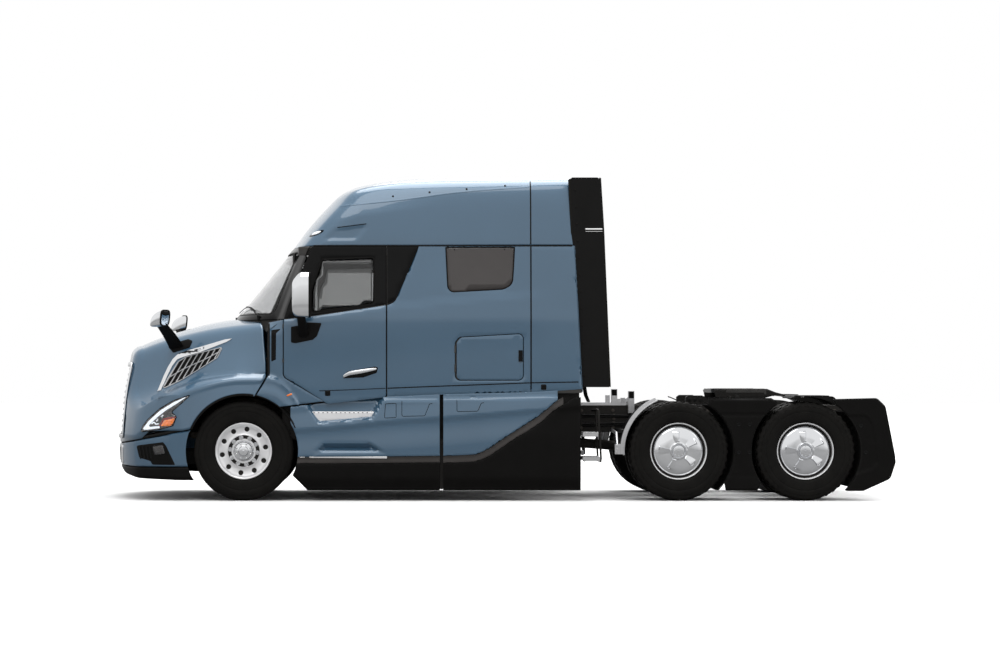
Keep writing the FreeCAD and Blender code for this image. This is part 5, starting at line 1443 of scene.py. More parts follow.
def make_door_mirrors():
    face_x, middle_y = -1992, -1378
    plate = rounded([(-2195, 1812, 10), (-2195, 1648, 14), (-2143, 1641, 14), (-1966, 1678, 30),
                     (-1924, 1715, 20), (-1874, 1852, 10), (-2039, 1860, 10), (-2060, 1835, 10)], 12)
    pair_of(panel("mirror_plate_left", "door_left", plate, cab_place, "black_plastic", (), "black_plastic",
                  24, 6, 8, proud=9), "door_right")
    arm = Shape()
    lower = [((-2062, -1204, 1752), 62, 64, 0.0), ((-2064, -1236, 1775), 56, 52, 0.25),
             ((-2072, -1290, 1826), 48, 38, 0.5), ((-2080, -1345, 1880), 45, 34, 0.7),
             ((-2085, -1376, 1925), 46, 36, 0.85)]
    rings = [oval(at, X, Vector((0, -lean, -(1 - lean) - 0.15)).normalized(), a, b, 2.4, 28) for at, a, b,
             lean in lower]
    loft(arm, rings)
    arm.tube([(-2050, -1206, 1815), (-2060, -1262, 1905), (-2075, -1330, 2080), (-2080, -1372, 2200)],
             [22, 19, 16, 14], 14)
    pair_of(arm.piece("mirror_arm_left", "black_plastic", "door_left", "black_plastic", 40), "door_right")
    shell = Shape()
    rings = []
    for t in np.linspace(0.0, 1.0, 18):
        x = lerp(-2177, face_x, t ** 1.6)
        t = t ** 1.6
        k = (1 - (1 - t) ** 4.5) ** (1 / 4.5) if t > 0 else 0.02
        low, high = 1906 + 16 * (1 - t) * (1 - k), lerp(2318, 2374, step(0, 0.55, t))
        rings.append(oval((x, middle_y, (low + high) / 2), Y, Z, 91 * max(k, 0.03),
                          (high - low) / 2 * max(k ** 0.6, 0.4), 4.2, 44))
    loft(shell, rings)
    head = shell.piece("mirror_head_left", "chrome", "door_left", "chrome", 50)
    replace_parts(head, "door_mirror_left")
    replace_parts(pair_of(head, "door_right"), "door_mirror_right")
    edge = Shape()
    loft(edge, [oval((face_x + d, middle_y, 2140), Y, Z, 91 + g, 234 + g, 4.2, 44)
                for d, g in ((-12, 1.5), (5, 2), (9, -2), (9, -9), (2, -11))], False)
    pair_of(edge.piece("mirror_rim_left", "black_plastic", "door_left", "black_plastic", 35), "door_right")
    for name, low, high in (("mirror_glass", 2064, 2362), ("mirror_wide_glass", 1918, 2050)):
        glass = Shape()
        loft(glass, [oval((face_x + d, middle_y, (low + high) / 2), Y, Z, 80 * k, (high - low) / 2 * k, 5.0,
                          44)
                     for d, k in ((3, 1.0), (4.5, 0.7), (5.2, 0.35), (5.4, 0.01))], False)
        pair_of(glass.piece(name + "_left", "mirror", "door_left", "chrome", 60), "door_right")


def quarter_top(x):
    return float(np.interp(x, (-2464, -2362, -2279, -2200, -2110, -2000),
                           (1322, 1298, 1240, 1150, 1022, 880)))


def quarter_y(x, z):
    """Fixed cowl panel: flush with hood and door above, carrying the fender's shape down to the fairing."""
    base = lerp(1166, SIDE_Y, step(-2464, -2290, x)) + 4
    if z > 1700:
        base = lerp(base, lerp(1000, SIDE_Y, (x + 2464) / 185), step(1740, 1900, z) * 0.96)
    under = quarter_top(x) - z
    return lerp(base, HALF_WIDTH, step(-4, 50, under)) - 20 * step(20, 50, under) * (1 - step(95, 200, under))


def make_cowl():
    """Fixed quarter panels behind the fenders, the cowl under the windscreen, the firewall and the wipers."""
    arc = [Vector((FRONT_AXLE_X + ARCH_R * math.cos(a), AXLE_Z + ARCH_R * math.sin(a)))
           for a in np.linspace(math.radians(76.8), math.radians(52.5), 20)]
    outer = [Vector((-2436, 1856)), Vector((-2436, 1342)), Vector((-2440, 1288))]
    outer = rounded([tuple(p) for p in outer + arc[:1]], 22, closed=False)[:-1] + arc
    low = [Vector((x, lower_seam_z(x) + 7)) for x in np.linspace(arc[-1].x + 8, -1856, 26)]
    cut = rounded([(-1856, 1038), (-1838, 1026), (-2109, 1188, 60), (-2260, 1276, 40), (-2280, 1310, 30),
                   (-2280, 1886)], 22, closed=False)
    outer += low + cut[2:] + [Vector((x, lerp(1886, 1858, (-2280 - x) / 172))) for x in np.linspace(-2300,
                                                                                                    -2430, 8)]
    left = panel("cowl_quarter_left", "chassis", outer, side_of(quarter_y), "paint", (), "paint", 24, 5, 5)
    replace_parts(left, "cab_front")
    pair_of(left)
    slot = rounded([(-2402, 1780, 8), (-2298, 1793, 4), (-2350, 1745, 14), (-2352, 1470, 8),
                    (-2402, 1448, 8)], 14)
    pair_of(panel("cowl_inlet_left", "chassis", slot, side_of(quarter_y), "gloss_black", (), "black_plastic",
                  24, 3, 2, proud=1.5))
    blades = Shape()
    for z in range(1484, 1752, 26):
        ribbon(blades, [(-2394, z), (-2360, z + 5)], side_of(quarter_y), 7, 4)
    pair_of(blades.piece("cowl_louvres_left", "black_plastic", "chassis", "black_plastic", 30))
    lamp = Shape()
    ribbon(lamp, [(-2236, 1094), (-2225, 1098), (-2200, 1108), (-2190, 1112)], side_of(quarter_y), 17, 7)
    pair_of(lamp.piece("side_marker_left", "amber", "chassis", "lamp", 30))

    # top of the cowl under the windscreen, with its air grid, and the firewall behind the engine
    def top(y, t):
        x0 = -2868 + (368 * (abs(y) / 1000) ** 2 if abs(y) < 1000 else 368 + (abs(y) - 1000) * 0.22) + 16
        p = front_surface(math.copysign(min(abs(y), 1190), y), SCREEN_Z)
        z0 = crown_z(-2600) - 70 - 90 * (abs(y) / 1000) ** 2
        return Vector((lerp(x0, p.x + 6, t), lerp(y, p.y, t), lerp(z0, SCREEN_Z, t)))
    ys = np.linspace(-1150, 1150, 61)
    rows = [top(y, t) for t in np.linspace(0, 1, 9) for y in ys]
    cowl = new_piece("cowl_top", rows, grid_faces(9, 61), "black_plastic", "chassis", "black_plastic", 30,
                     core=(-2500, 0, 1000))
    thicken(cowl, 5)
    slats = Shape()
    for y in np.linspace(-820, 820, 42):
        slats.tube([top(y, t) + Z * 3 for t in (0.25, 0.5, 0.75)], 5, 6)
    slats.piece("cowl_slats", "gloss_black", "chassis", "black_plastic", 30)
    wall = Shape()
    ring = [(y, z) for y, z in ((-1120, 1130), (1120, 1130), (1130, 1340), (1000, 1800), (-1000, 1800),
                                (-1130, 1340))]
    wall.prism(ring, -2452, -2436, "yz")
    for z in (1240, 1400, 1560):
        wall.box(-2464, -2452, -880, 880, z, z + 34)
    for y in (-620, -120, 420):
        wall.box(-2478, -2452, y, y + 160, 1620, 1730)
    for side in (-1, 1):
        wall.box(-2434, -2418, side * 1160 - 26, side * 1160 + 26, 1290, 1850)
    wall.piece("firewall", "dark_chassis", "chassis", "dark_chassis", 30, bevel=5)

    # wipers
    wipers = Shape()
    for start in (-760, 80):
        pivot = front_surface(start, 1925) + Vector((-14, 0, 6))
        tip = [front_surface(start + d, 1925 + 20 + 92 * math.sin(math.pi * d / 700)) + Vector((-24, 0, 4))
               for d in np.linspace(0, 620, 13)]
        wipers.tube([pivot - Vector((10, 0, 26)), pivot] + [p - Vector((16, 0, 0)) for p in tip[3:8]], 7, 8)
        for p, q in zip(tip[2:], tip[3:]):
            wipers.tube([p, q], 4.5, 6)
        wipers.tube([pivot - Vector((4, 0, 34)), pivot + Vector((-8, 0, 8))], 15, 12)
    wipers.piece("wipers", "black_plastic", "chassis", "black_plastic", 35)


def make_wells():
    """Liners and lips of the front wheel arches, backing behind open gaps, and the seal under the hood."""
    r = ARCH_R - 9
    angles = np.linspace(math.radians(24), math.radians(158), 44)
    verts = []
    for a in angles:
        low = max(1 - step(0.6, 1.05, a), step(2.1, 2.5, a))      # room for the steered tyre's corners
        for k, (y, dr) in enumerate(((-1236, 0), (-1200, 0), (-1050, 6), (-850, 6), (-640, 0), (-588, 0),
                                     (-580, -12), (-578, -40))):
            ridge = 5 * (1 if int(math.degrees(a) / 6) % 2 else 0) if 1 < k < 5 else 0
            rr = r + dr - ridge * (1 - low) + 14 * low
            verts.append((FRONT_AXLE_X + rr * math.cos(a), y, max(AXLE_Z + rr * math.sin(a), 700)))
    liner = new_piece("wheel_liner_left", verts, grid_faces(44, 8), "black_plastic", "hood", "black_plastic",
                      35)
    thicken(liner, 4, 0)
    pair_of(liner, "hood")
    lip = Shape()
    section = [(ARCH_R - 22, -1236), (ARCH_R - 20, -1243), (ARCH_R - 6, -1246), (ARCH_R + 1, -1243),
               (ARCH_R + 1, -1230), (ARCH_R - 18, -1226)]
    loft(lip, swept(FRONT_AXLE_X, np.linspace(math.radians(79.5), math.radians(157), 60), section), False)
    pair_of(lip.piece("arch_lip_left", "black_plastic", "hood", "black_plastic", 40), "hood")
    back = Shape()
    section = [(ARCH_R - 12, -1234), (ARCH_R - 10, -1241), (ARCH_R - 3, -1245), (ARCH_R + 1, -1240),
               (ARCH_R + 1, -1000), (ARCH_R - 6, -1000)]
    loft(back, swept(FRONT_AXLE_X, np.linspace(math.radians(24), math.radians(78), 44), section), False)
    pair_of(back.piece("arch_lip_rear_left", "black_plastic", "chassis", "black_plastic", 40))
    sill = Shape()
    sill.box(-2290, 815, -1118, -1102, 640, 1128)
    for x in np.arange(-2200, 780, 150):
        sill.box(x, x + 60, -1124, -1118, 660, 1110)
    sill.box(-690, -575, -1196, -1180, 122, 645)
    sill.box(-3760, -3222, -580, -568, 360, 500)
    sill.box(-1290, -1110, -1040, -1026, 1172, 2640)
    pair_of(sill.piece("sill_backing_left", "dark_chassis", "chassis", "dark_chassis", 30, bevel=3))
    seam = Shape()
    rows = []
    for y in np.concatenate([np.linspace(0, 1000, 26), np.linspace(1020, 1215, 14)]):
        x = nose_x(y, 590) + 16
        rows += [(x, -y, hood_low(x) - 12), (x, -y, hood_low(x) + 20)]
    rows += [(x, -1218, hood_low(x) + dz) for x in np.linspace(-3380, -3270, 6) for dz in (-12, 20)]
    n = len(rows) // 2
    seam.add(rows, grid_faces(n, 2))
    seam.add([(x, -y, z) for x, y, z in rows], grid_faces(n, 2))
    thicken(seam.piece("bumper_seal", "black_plastic", "hood", "black_plastic", 35), 4, 0)


def make_side_details():
    """Handles and latches of the cab; gloss-black strips along its shut lines, eave and roof seam, which are
    painted shade of those gaps; and the studs, lamps and beads of its roof.
    """
    pocket = rounded([(-1660, 1274, 10), (-1612, 1346, 20), (-1318, 1400, 10), (-1288, 1388, 8),
                      (-1300, 1332, 20), (-1440, 1284, 30)], 12)
    grip_z = smooth((-1652, -1596, -1469, -1308), (1292, 1324, 1346, 1374))
    pair_of(panel("handle_pocket_left", "door_left", pocket, cab_place, "gloss_black", (), "black_plastic",
                  24, 3, 2, proud=1), "door_right")
    bar = Shape()
    rings = []
    for t in np.linspace(0, 1, 16):
        x = lerp(-1648, -1306, t)
        z = grip_z(x)
        out = 8 + 28 * math.sin(math.pi * min(1, max(0, t))) ** 0.5
        at, n = cab_place(x, z)
        rings.append(oval(at + n * out, n, Vector((-0.2, 0, 1)).normalized(), 9,
                          lerp(24, 17, t) * (0.55 + 0.45 * math.sin(math.pi * t) ** 0.5), 3.0, 18))
    loft(bar, rings)
    pair_of(bar.piece("door_handle_left", "chrome", "door_left", "chrome", 40), "door_right")
    latch = Shape()
    rings = [oval(cab_place(197, z)[0] + Vector((0, -4, 0)), X, -Y, 22, 8, 4, 20) for z in np.linspace(1450,
                                                                                                       1568,
                                                                                                       5)]
    loft(latch, rings)
    pair_of(latch.piece("luggage_latch_left", "gloss_black", "luggage_door_left", "black_plastic", 40),
            "luggage_door_right")
    # painted shade: gloss-black strips along the sill seams, the shut line at SEAM_X, the eave and the rear
    # edge of the black surround stand for the shade in those gaps
    lines, roof_shade_lines = Shape(), Shape()
    for x0, x1 in ((-1188, 298), (314, 800)):
        ribbon(lines, [(x, sill_seam_z(x)) for x in np.linspace(x0, x1, 30)], cab_place, 11, 2.2)
    ribbon(lines, [(SEAM_X, z) for z in np.linspace(1160, 2656, 60)], cab_place, 14, 2.6)
    ribbon(lines, [(x, EAVE_Z) for x in np.linspace(-1960, 740, 60)], frame_place, 15, 4)
    ribbon(lines, [(lerp(-868, -1108, t), lerp(2650, 2094, t)) for t in np.linspace(0, 1, 30)], cab_place, 11,
           3)
    ribbon(lines, [(lerp(-1108, -1190, t), lerp(2094, 2046,
                                                t) - 9 * math.sin(math.pi * t)) for t in np.linspace(0, 1,
                                                                                                     10)],
           cab_place, 11, 3)
    pair_of(lines.piece("cab_seams_left", "gloss_black", "chassis", "black_plastic", 40))
    # painted shade: a gloss-black strip along the door's sill seam stands for the shade in the gap
    sills = Shape()
    ribbon(sills, [(x, sill_seam_z(x)) for x in np.linspace(-1900, -1212, 24)], cab_place, 8, 1.6)
    pair_of(sills.piece("door_seam_left", "gloss_black", "door_left", "black_plastic", 40), "door_right")
    # painted shade: gloss-black strips up the roof seam and along the top edge of the roof scoop stand for
    # the shade there
    ribbon(roof_shade_lines, [(SEAM_X, z) for z in np.linspace(2676, 3340, 40)], on_roof, 14, 2.6)
    ribbon(roof_shade_lines, [(x, 2856 + 0.123 * (x + 1721)) for x in np.linspace(-1716, -1410, 30)], on_roof, 9,
           1.2)
    bead = Shape()
    ribbon(bead, [(x, roof_crease_z(x)) for x in np.linspace(-1690, 292, 90)], on_roof, 20, 2.4)
    pair_of(bead.piece("roof_crease_left", "paint", "chassis", "paint", 40))
    pair_of(roof_shade_lines.piece("roof_seam_left", "gloss_black", "chassis", "black_plastic", 40))
    dots = Shape()
    for x, z in ((-1132, 3186), (-749, 3226), (-361, 3258), (42, 3292)):
        at, n = on_roof(x, z)
        dots.tube([at - n * 4, at + n * 4], [13, 10], 14)
    for x, z in ((-492, 2618), (32, 2618)):
        at, n = frame_place(x, z)
        dots.tube([at - n * 2, at + n * 3], [7, 5], 10)
    pair_of(dots.piece("roof_studs_left", "gloss_black", "chassis", "black_plastic", 35))
    for name, mat, grow, up in (("roof_lamp_base", "gloss_black", 1.0, 4), ("roof_lamp", "led", 0.62, 12)):
        rings = []
        for share, h in ((1, -4), (1, up * 0.5), (0.86, up * 0.9), (0.5, up), (0.02, up)):
            ring = []
            for t in around(32):
                a, b = 78 * grow * share * math.cos(t), 20 * grow * share * math.sin(t)
                at, n = on_roof(-1936 + a, 2799 + 0.34 * a + b)
                ring.append(at + n * h)
            rings.append(ring)
        pair_of(loft(Shape(), rings, False).piece(f"{name}_left", mat, "chassis", "lamp", 45))
    squares = Shape()
    for x0, z0 in ((-1840, 1093), (411, 1156)):
        at, n = cab_place(x0 + 27, z0 + 28)
        loft(squares, [oval(at + n * d, X, Z, s, s, 6, 24) for d, s in ((-2, 28), (4, 28), (5.5, 25),
                                                                        (5.5, 12), (3, 10), (3, 1))])
    pair_of(squares.piece("cab_sockets_left", "gloss_black", "chassis", "black_plastic", 35))


make_vents()
make_hood_mirrors()
make_door_mirrors()
make_cowl()
make_wells()
make_side_details()


# ---- wheels ---------------------------------------------------------------------------------
def spun(shape, profile, x, count, radius_at=None):
    """Closed profile of (y, radius) turned about the axle; the radius may vary with angle and point."""
    n = len(profile)
    verts = []
    for i in range(count):
        a = 2 * math.pi * i / count
        for j, (y, r) in enumerate(profile):
            r = radius_at(i, j, r) if radius_at else r
            verts.append((x + r * math.sin(a), y, AXLE_Z + r * math.cos(a)))
    faces = [(i * n + j, (i + 1) % count * n + j, (i + 1) % count * n + (j + 1) % n, i * n + (j + 1) % n)
             for i in range(count) for j in range(n)]
    return shape.add(verts, faces)


def tyre_profile(y, driven):
    w, r = TYRE_W / 2, TYRE_R
    side = [(w - 40, 287), (w - 38, 299), (w - 27, 303), (w - 22, 311), (w - 14, 317), (w - 13, 322),
            (w - 9, 326), (w - 4, 350), (w - 1, 380), (w - 1, 405), (w - 3.5, 409), (w - 1.5, 413),
            (w - 2, 440), (w - 5, 462), (w - 9, 466), (w - 7, 470), (w - 12, 492), (w - 20, 506)]
    crown = [(w - 32, r - 1.5)]
    for at, half in (((64, 6), (0, 4)) if driven else ((72, 5), (27, 5))):
        crown += [(at + half, r - 0.5), (at + half - 1.5, r - 15), (at - half + 1.5, r - 15),
                  (at - half, r - 0.5)]
    half = side + [p for p in crown if p[0] > -1]
    if driven:
        half = side + crown[:5] + [(4, r - 0.2), (2.5, r - 14)]
    other = [(-a, b) for a, b in reversed(half)]
    return [(y + a, b) for a, b in half + other], len(side)


def make_tyres():
    def lugs(side, total):
        lugged = set(range(side - 3, side + 4)) | set(range(total - side - 4, total - side + 3))

        def radius(i, j, r):
            if j in lugged and i % 4 in (2, 3):
                return r - (13 if abs(r - TYRE_R) < 4 else 6)
            return r
        return radius
    front = Shape()
    profile, _ = tyre_profile(-FRONT_WHEEL_Y, False)
    spun(front, profile, FRONT_AXLE_X, 120)
    left = front.piece("tyre_tread_front_left", "tyre", "wheel_front_left", "tyre", 32)
    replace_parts(left, "tyre_front_left")
    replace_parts(mirrored(left, "tyre_tread_front_right", "wheel_front_right"), "tyre_front_right")
    for name, x in zip(("forward", "rear"), DRIVE_X):
        twin = Shape()
        for y in DUAL_Y:
            profile, side = tyre_profile(-y, True)
            spun(twin, profile, x, 160, lugs(side, len(profile)))
        left = twin.piece(f"tyre_treads_{name}_left", "tyre", f"wheels_{name}_left", "tyre", 32)
        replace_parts(left, f"tyres_{name}_left")
        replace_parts(mirrored(left, f"tyre_treads_{name}_right", f"wheels_{name}_right"),
                    f"tyres_{name}_right")


def circle(x, z, r, count):
    return [Vector((x + r * math.sin(a), z + r * math.cos(a))) for a in around(count)]


def both_wheels(piece, body, node=None):
    right = mirrored(piece, piece.name.replace("_left", "_right"), body.replace("_left", "_right"))
    if node:
        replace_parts(piece, node)
        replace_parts(right, node.replace("_left", "_right"))


def make_front_rims():
    x, body = FRONT_AXLE_X, "wheel_front_left"
    dish = line([(100, 1139), (118, 1141), (160, 1139), (168, 1126), (180, 1118), (200, 1117), (246, 1119),
                 (258, 1124), (266, 1136), (274, 1140)])
    face = side_of(lambda px, pz: dish(math.hypot(px - x, pz - AXLE_Z)))
    turn = math.radians(8)
    holes = [circle(x + 229 * math.sin(turn + math.pi * k / 5),
                    AXLE_Z + 229 * math.cos(turn + math.pi * k / 5), 26, 20)
             for k in range(10)]
    rings = [circle(x, AXLE_Z, r, 90) for r in (163, 169, 182, 258)]
    disc = panel("rim_disc_front_left", body, circle(x, AXLE_Z, 273, 96), face, "polished_aluminium",
                 [circle(x, AXLE_Z, 100, 60)] + holes, "polished_aluminium", 16, 3, 12, 40, cuts=rings)
    both_wheels(disc, body, "rim_front_left")
    shape = Shape()
    spun(shape, [(-1150, 262), (-1160, 270), (-1169, 276), (-1174, 283), (-1175, 290), (-1171, 296),
                 (-1163, 297), (-1158, 291), (-1120, 285), (-1000, 284), (-952, 285), (-946, 294),
                 (-940, 294), (-940, 280), (-1100, 272)],
         x, 120)
    both_wheels(shape.piece("rim_lip_front_left", "polished_aluminium", body, "polished_aluminium", 28), body)
    hub = Shape()
    spun(hub, [(-1130, 108), (-1152, 107), (-1158, 102), (-1166, 100), (-1184, 96), (-1190, 90), (-1192, 60),
               (-1196, 52), (-1204, 47), (-1206, 38), (-1205, 20), (-1207, 0.5), (-1130, 0.5)], x, 72)
    for k in range(10):
        a = math.radians(-11) + math.pi * k / 5
        hub.bolt((x + 143 * math.sin(a), -1139, AXLE_Z + 143 * math.cos(a)), (0, -1, 0), 16, 27)
    for k in range(8):
        a = math.pi * (k + 0.5) / 4
        hub.bolt((x + 78 * math.sin(a), -1191, AXLE_Z + 78 * math.cos(a)), (0, -1, 0), 7, 6)
    both_wheels(hub.piece("hub_cap_front_left", "chrome", body, "polished_aluminium", 30), body)
    dark = Shape()
    spun(dark, [(-1105, 268), (-1105, 60), (-1092, 60), (-1092, 268)], x, 60)
    # painted shadow: this thin dark ring, flush with the rim face round the nut circle, stands for the shadow
    # round the wheel nuts; the disc above is the brake drum seen through the holes
    spun(dark, [(-1138.5, 124), (-1140.5, 126), (-1140.5, 163), (-1138.5, 165), (-1134, 165), (-1134, 124)],
         x, 72)
    both_wheels(dark.piece("brake_drum_front_left", "dark_chassis", body, "cast", 30), body)


def make_drive_rims():
    blades = [math.radians(a) for a in (-8, 58, 130, -155, -88)]

    def lift(a, r):
        h = 0.0
        for b in blades:
            d = (a - b + math.pi) % (2 * math.pi) - math.pi
            if abs(d) < 0.9:
                across, out = r * math.sin(d), r * math.cos(d)
                half = lerp(18, 38, (out - 90) / 118)
                t = (across + half) / (2 * half)
                if 0 <= t <= 1 and 88 < out < 212:
                    h = max(h, (3 + 12 * t) * step(88, 100, out) * (1 - step(196, 212, out)))
        return h
    for name, x in zip(("forward", "rear"), DRIVE_X):
        body = f"wheels_{name}_left"
        dish = smooth((60, 84, 92, 110, 150, 200, 235, 252, 260), (1196, 1194, 1190, 1189, 1187, 1181, 1171,
                                                                   1161, 1150))
        radii = [60, 76, 84, 90] + [92 + 5.0 * k for k in range(25)] + [220, 230, 240, 247, 252, 256, 259,
                                                                        260.5]
        verts = [(x + r * math.sin(a), -dish(r) - lift(a, r), AXLE_Z + r * math.cos(a))
                 for r in radii for a in around(120)]
        cover = new_piece(f"wheel_cover_{name}_left", verts, grid_faces(len(radii), 120, True), "chrome",
                          body, "chrome", 34, core=(x, 0, AXLE_Z))
        thicken(cover, 3, -1)
        both_wheels(cover, body, f"rims_{name}_left")
        shape = Shape()
        spun(shape, [(-1150, 283), (-1178, 283), (-1188, 285), (-1194, 289), (-1195, 294), (-1190, 297),
                     (-1182, 297), (-1178, 292), (-1140, 286), (-980, 285), (-972, 294), (-966, 294),
                     (-966, 279), (-1140, 276)], x, 120)
        spun(shape, [(-860, 294), (-854, 294), (-846, 286), (-640, 286), (-634, 294), (-628, 294),
                     (-628, 276), (-860, 276)],
             x, 96)
        both_wheels(shape.piece(f"rim_lips_{name}_left", "polished_aluminium", body, "polished_aluminium",
                                28), body)
        dark = Shape()
        spun(dark, [(-1150, 282), (-1146, 255), (-1140, 200), (-1140, 60), (-1120, 60), (-1120, 255),
                    (-1128, 282)], x, 72)
        spun(dark, [(-700, 280), (-900, 262), (-900, 90), (-880, 90), (-880, 250), (-700, 262)], x, 72)
        both_wheels(dark.piece(f"brake_drum_{name}_left", "dark_chassis", body, "cast", 30), body)
        hub = Shape()
        spun(hub, [(-1160, 86), (-1196, 85), (-1203, 81), (-1203, 74), (-1196, 70), (-1194, 66), (-1200, 63),
                   (-1208, 58), (-1210, 40), (-1210, 14), (-1213, 12), (-1213, 0.5), (-1160, 0.5)], x, 72)
        for k in range(8):
            a = math.pi * k / 4
            hub.bolt((x + 50 * math.sin(a), -1209, AXLE_Z + 50 * math.cos(a)), (0, -1, 0), 5, 3, False)
        both_wheels(hub.piece(f"wheel_hub_{name}_left", "chrome", body, "chrome", 30), body)


make_tyres()
make_front_rims()
make_drive_rims()


# ---- chassis details ------------------------------------------------------------------------
def arc(x, r, z0, z1, side):
    """Points on a circle about an axle from one height to another, on its front or rear side."""
    return [Vector((x + side * math.sqrt(r * r - (z - AXLE_Z) ** 2), z)) for z in
            (AXLE_Z + r * math.sin(lerp(math.asin((z0 - AXLE_Z) / r), math.asin((z1 - AXLE_Z) / r), t))
             for t in (k / 29 for k in range(30)))]


def make_guards():
    f, r = DRIVE_X
    mid = [(2156, 1066), (2156, 1000)] + [tuple(p) for p in arc(f, GUARD_R + 4, 985, 205, 1)]
    mid += [(2312, 180), (2335, 114), (2654, 114), (2690, 180)]
    mid += [tuple(p) for p in arc(r, GUARD_R + 4, 215, 985, -1)] + [(2853, 1002), (2853, 1032), (2796, 1066)]

    def mid_y(x, z):
        groove = max(math.exp(-((z - 898) / 7) ** 2), math.exp(-((z - 261) / 7) ** 2) * 0.8)
        return 1246 - 5.5 * groove + (1.5 if z > 898 else 0)
    plate = panel("guard_mid_plate_left", "chassis", [Vector(p) for p in mid], side_of(mid_y),
                  "black_plastic", (), "black_plastic", 18, 4, 4)
    pair_of(plate)
    tail = [(3449, 1056)] + [tuple(p) for p in rounded([(3449, 1056, 4), (3895, 1066, 60), (3984, 983, 60),
            (4083, 470, 60), (4089, 400, 60), (4034, 233, 80), (3757, 110, 20), (3564, 110, 8)], 24,
            closed=False)][1:]
    tail += [tuple(p) for p in arc(r, GUARD_R + 4, 118, 1000, 1)]
    recess = as_array(rounded([(3520, 890, 20), (3798, 890, 60), (3856, 800, 60), (3918, 392, 50),
                               (3850, 330, 60), (3640, 262, 60), (3560, 262, 20)], 22))
    plate = panel("guard_tail_plate_left", "chassis", [Vector(p) for p in tail],
                  side_of(lambda x, z: 1247 - 6.5 * well(x, z, recess, 10)), "black_plastic", (),
                  "black_plastic", 15, 4, 4)
    pair_of(plate)
    bolts = Shape()
    for x, z in ((2463, 792), (2576, 792), (2463, 502), (2576, 502), (3734, 780), (3784, 502)):
        spin = [(r_, h) for r_, h in ((22, 0), (22, 2.5), (17, 3.5), (10, 3), (7, 1.5), (0.5, 1.5))]
        rings = [[Vector((x + r_ * math.cos(a), -1239.5 - h - (6 if x < 3000 else 0), z + r_ * math.sin(a)))
                  for a in around(24)] for r_, h in spin]
        loft(bolts, rings, False)
    pair_of(bolts.piece("guard_bolts_left", "gloss_black", "chassis", "black_plastic", 30))
    trim = Shape()
    for x, a0, a1 in ((r, 33, 100), (f, 47, 73)):
        loft(trim, swept(x, np.radians(np.linspace(a0, a1, 40)),
                         [(GUARD_R + 1, -1226), (GUARD_R + 1, -1214), (GUARD_R + 13, -1214),
                          (GUARD_R + 13, -1226)]))
    pair_of(trim.piece("guard_edges_left", "black_plastic", "chassis", "black_plastic", 30))
    # silver edge of the forward guard, with its bracket and the air-line posts
    edge = Shape()
    loft(edge, swept(f, np.radians(np.linspace(113, 184, 44)),
                     [(GUARD_R + 13, -1180), (GUARD_R + 13, -1238), (GUARD_R + 9, -1240),
                      (GUARD_R + 1, -1240), (GUARD_R - 2, -1236), (GUARD_R - 2, -1232), (GUARD_R + 5, -1232),
                      (GUARD_R + 11, -1180)]))
    loft(edge, swept(f, np.radians(np.linspace(114, 183, 44)),
                     [(GUARD_R + 13, -1236), (GUARD_R + 44, -1232), (GUARD_R + 46, -1228),
                      (GUARD_R + 44, -1224), (GUARD_R + 13, -1224)]))
    edge.box(1176, 1250, -1226, -1214, 486, 592)
    edge.tube([(1212, -1216, 540), (1212, -1130, 560), (1214, -1000, 700), (1216, -480, 720)], 17, 12)
    for z in (505, 540, 575):
        edge.bolt((1198, -1226, z), (0, -1, 0), 9, 8)
    edge.box(1222, 1274, -404, -400, 1002, 1090)
    edge.box(1398, 1450, -476, -472, 905, 1060)
    pair_of(edge.piece("fender_edge_left", "satin_aluminium", "chassis", "satin_aluminium", 30, bevel=1.2,
                       segments=1))
    posts = Shape()
    for x0, x1, y, z0, z1 in ((1220, 1275, -404, 1090, 1154), (1396, 1451, -476, 1062, 1134)):
        posts.box(x0, x1, y - 3, y, z0, z1)
        for z in (z0 + 20, z1 - 18):
            posts.bolt(((x0 + x1) / 2, y - 3, z), (0, -1, 0), 10, 9)
    posts.piece("post_brackets", "black_plastic", "chassis", "black_plastic", 30, bevel=2)


def make_rear_steps():
    shape = Shape()
    for z, x1 in ((682, 1006), (428, 1026)):
        for y in np.arange(-1186, -846, 34):
            for x in np.arange(850, x1 - 20, 30):
                shape.tube([(x + 13, y + 13, z + 22), (x + 13, y + 13, z + 31)], [13, 9], 10)
        shape.box(843, x1, -1198, -1188, z - 14, z + 28)
        shape.box(843, x1, -852, -842, z - 14, z + 28)
        shape.box(843, x1, -1188, -852, z, z + 22)
        for x in np.arange(856, x1 - 10, 21):
            shape.tube([(x, -1199, z + 22), (x, -1199, z + 34)], [8, 5], 8)
    shape.bolt((860, -1199, 420), (0, -1, 0), 10, 8).bolt((1008, -1199, 420), (0, -1, 0), 10, 8)
    pair_of(shape.piece("rear_treads_left", "satin_aluminium", "chassis", "satin_aluminium", 30, bevel=1.2,
                        segments=1))
    arms = Shape()
    arms.tube([(1012, -1170, 940), (1014, -1176, 800), (1026, -1180, 620), (1036, -1180, 440),
               (1030, -1176, 400)], 11, 10)
    arms.tube([(1012, -1170, 940), (1010, -1000, 945), (1008, -470, 930)], 13, 10)
    arms.tube([(1012, -862, 940), (1016, -862, 700), (1030, -862, 420)], 11, 10)
    pair_of(arms.piece("step_arms_left", "dark_chassis", "chassis", "dark_chassis", 40))


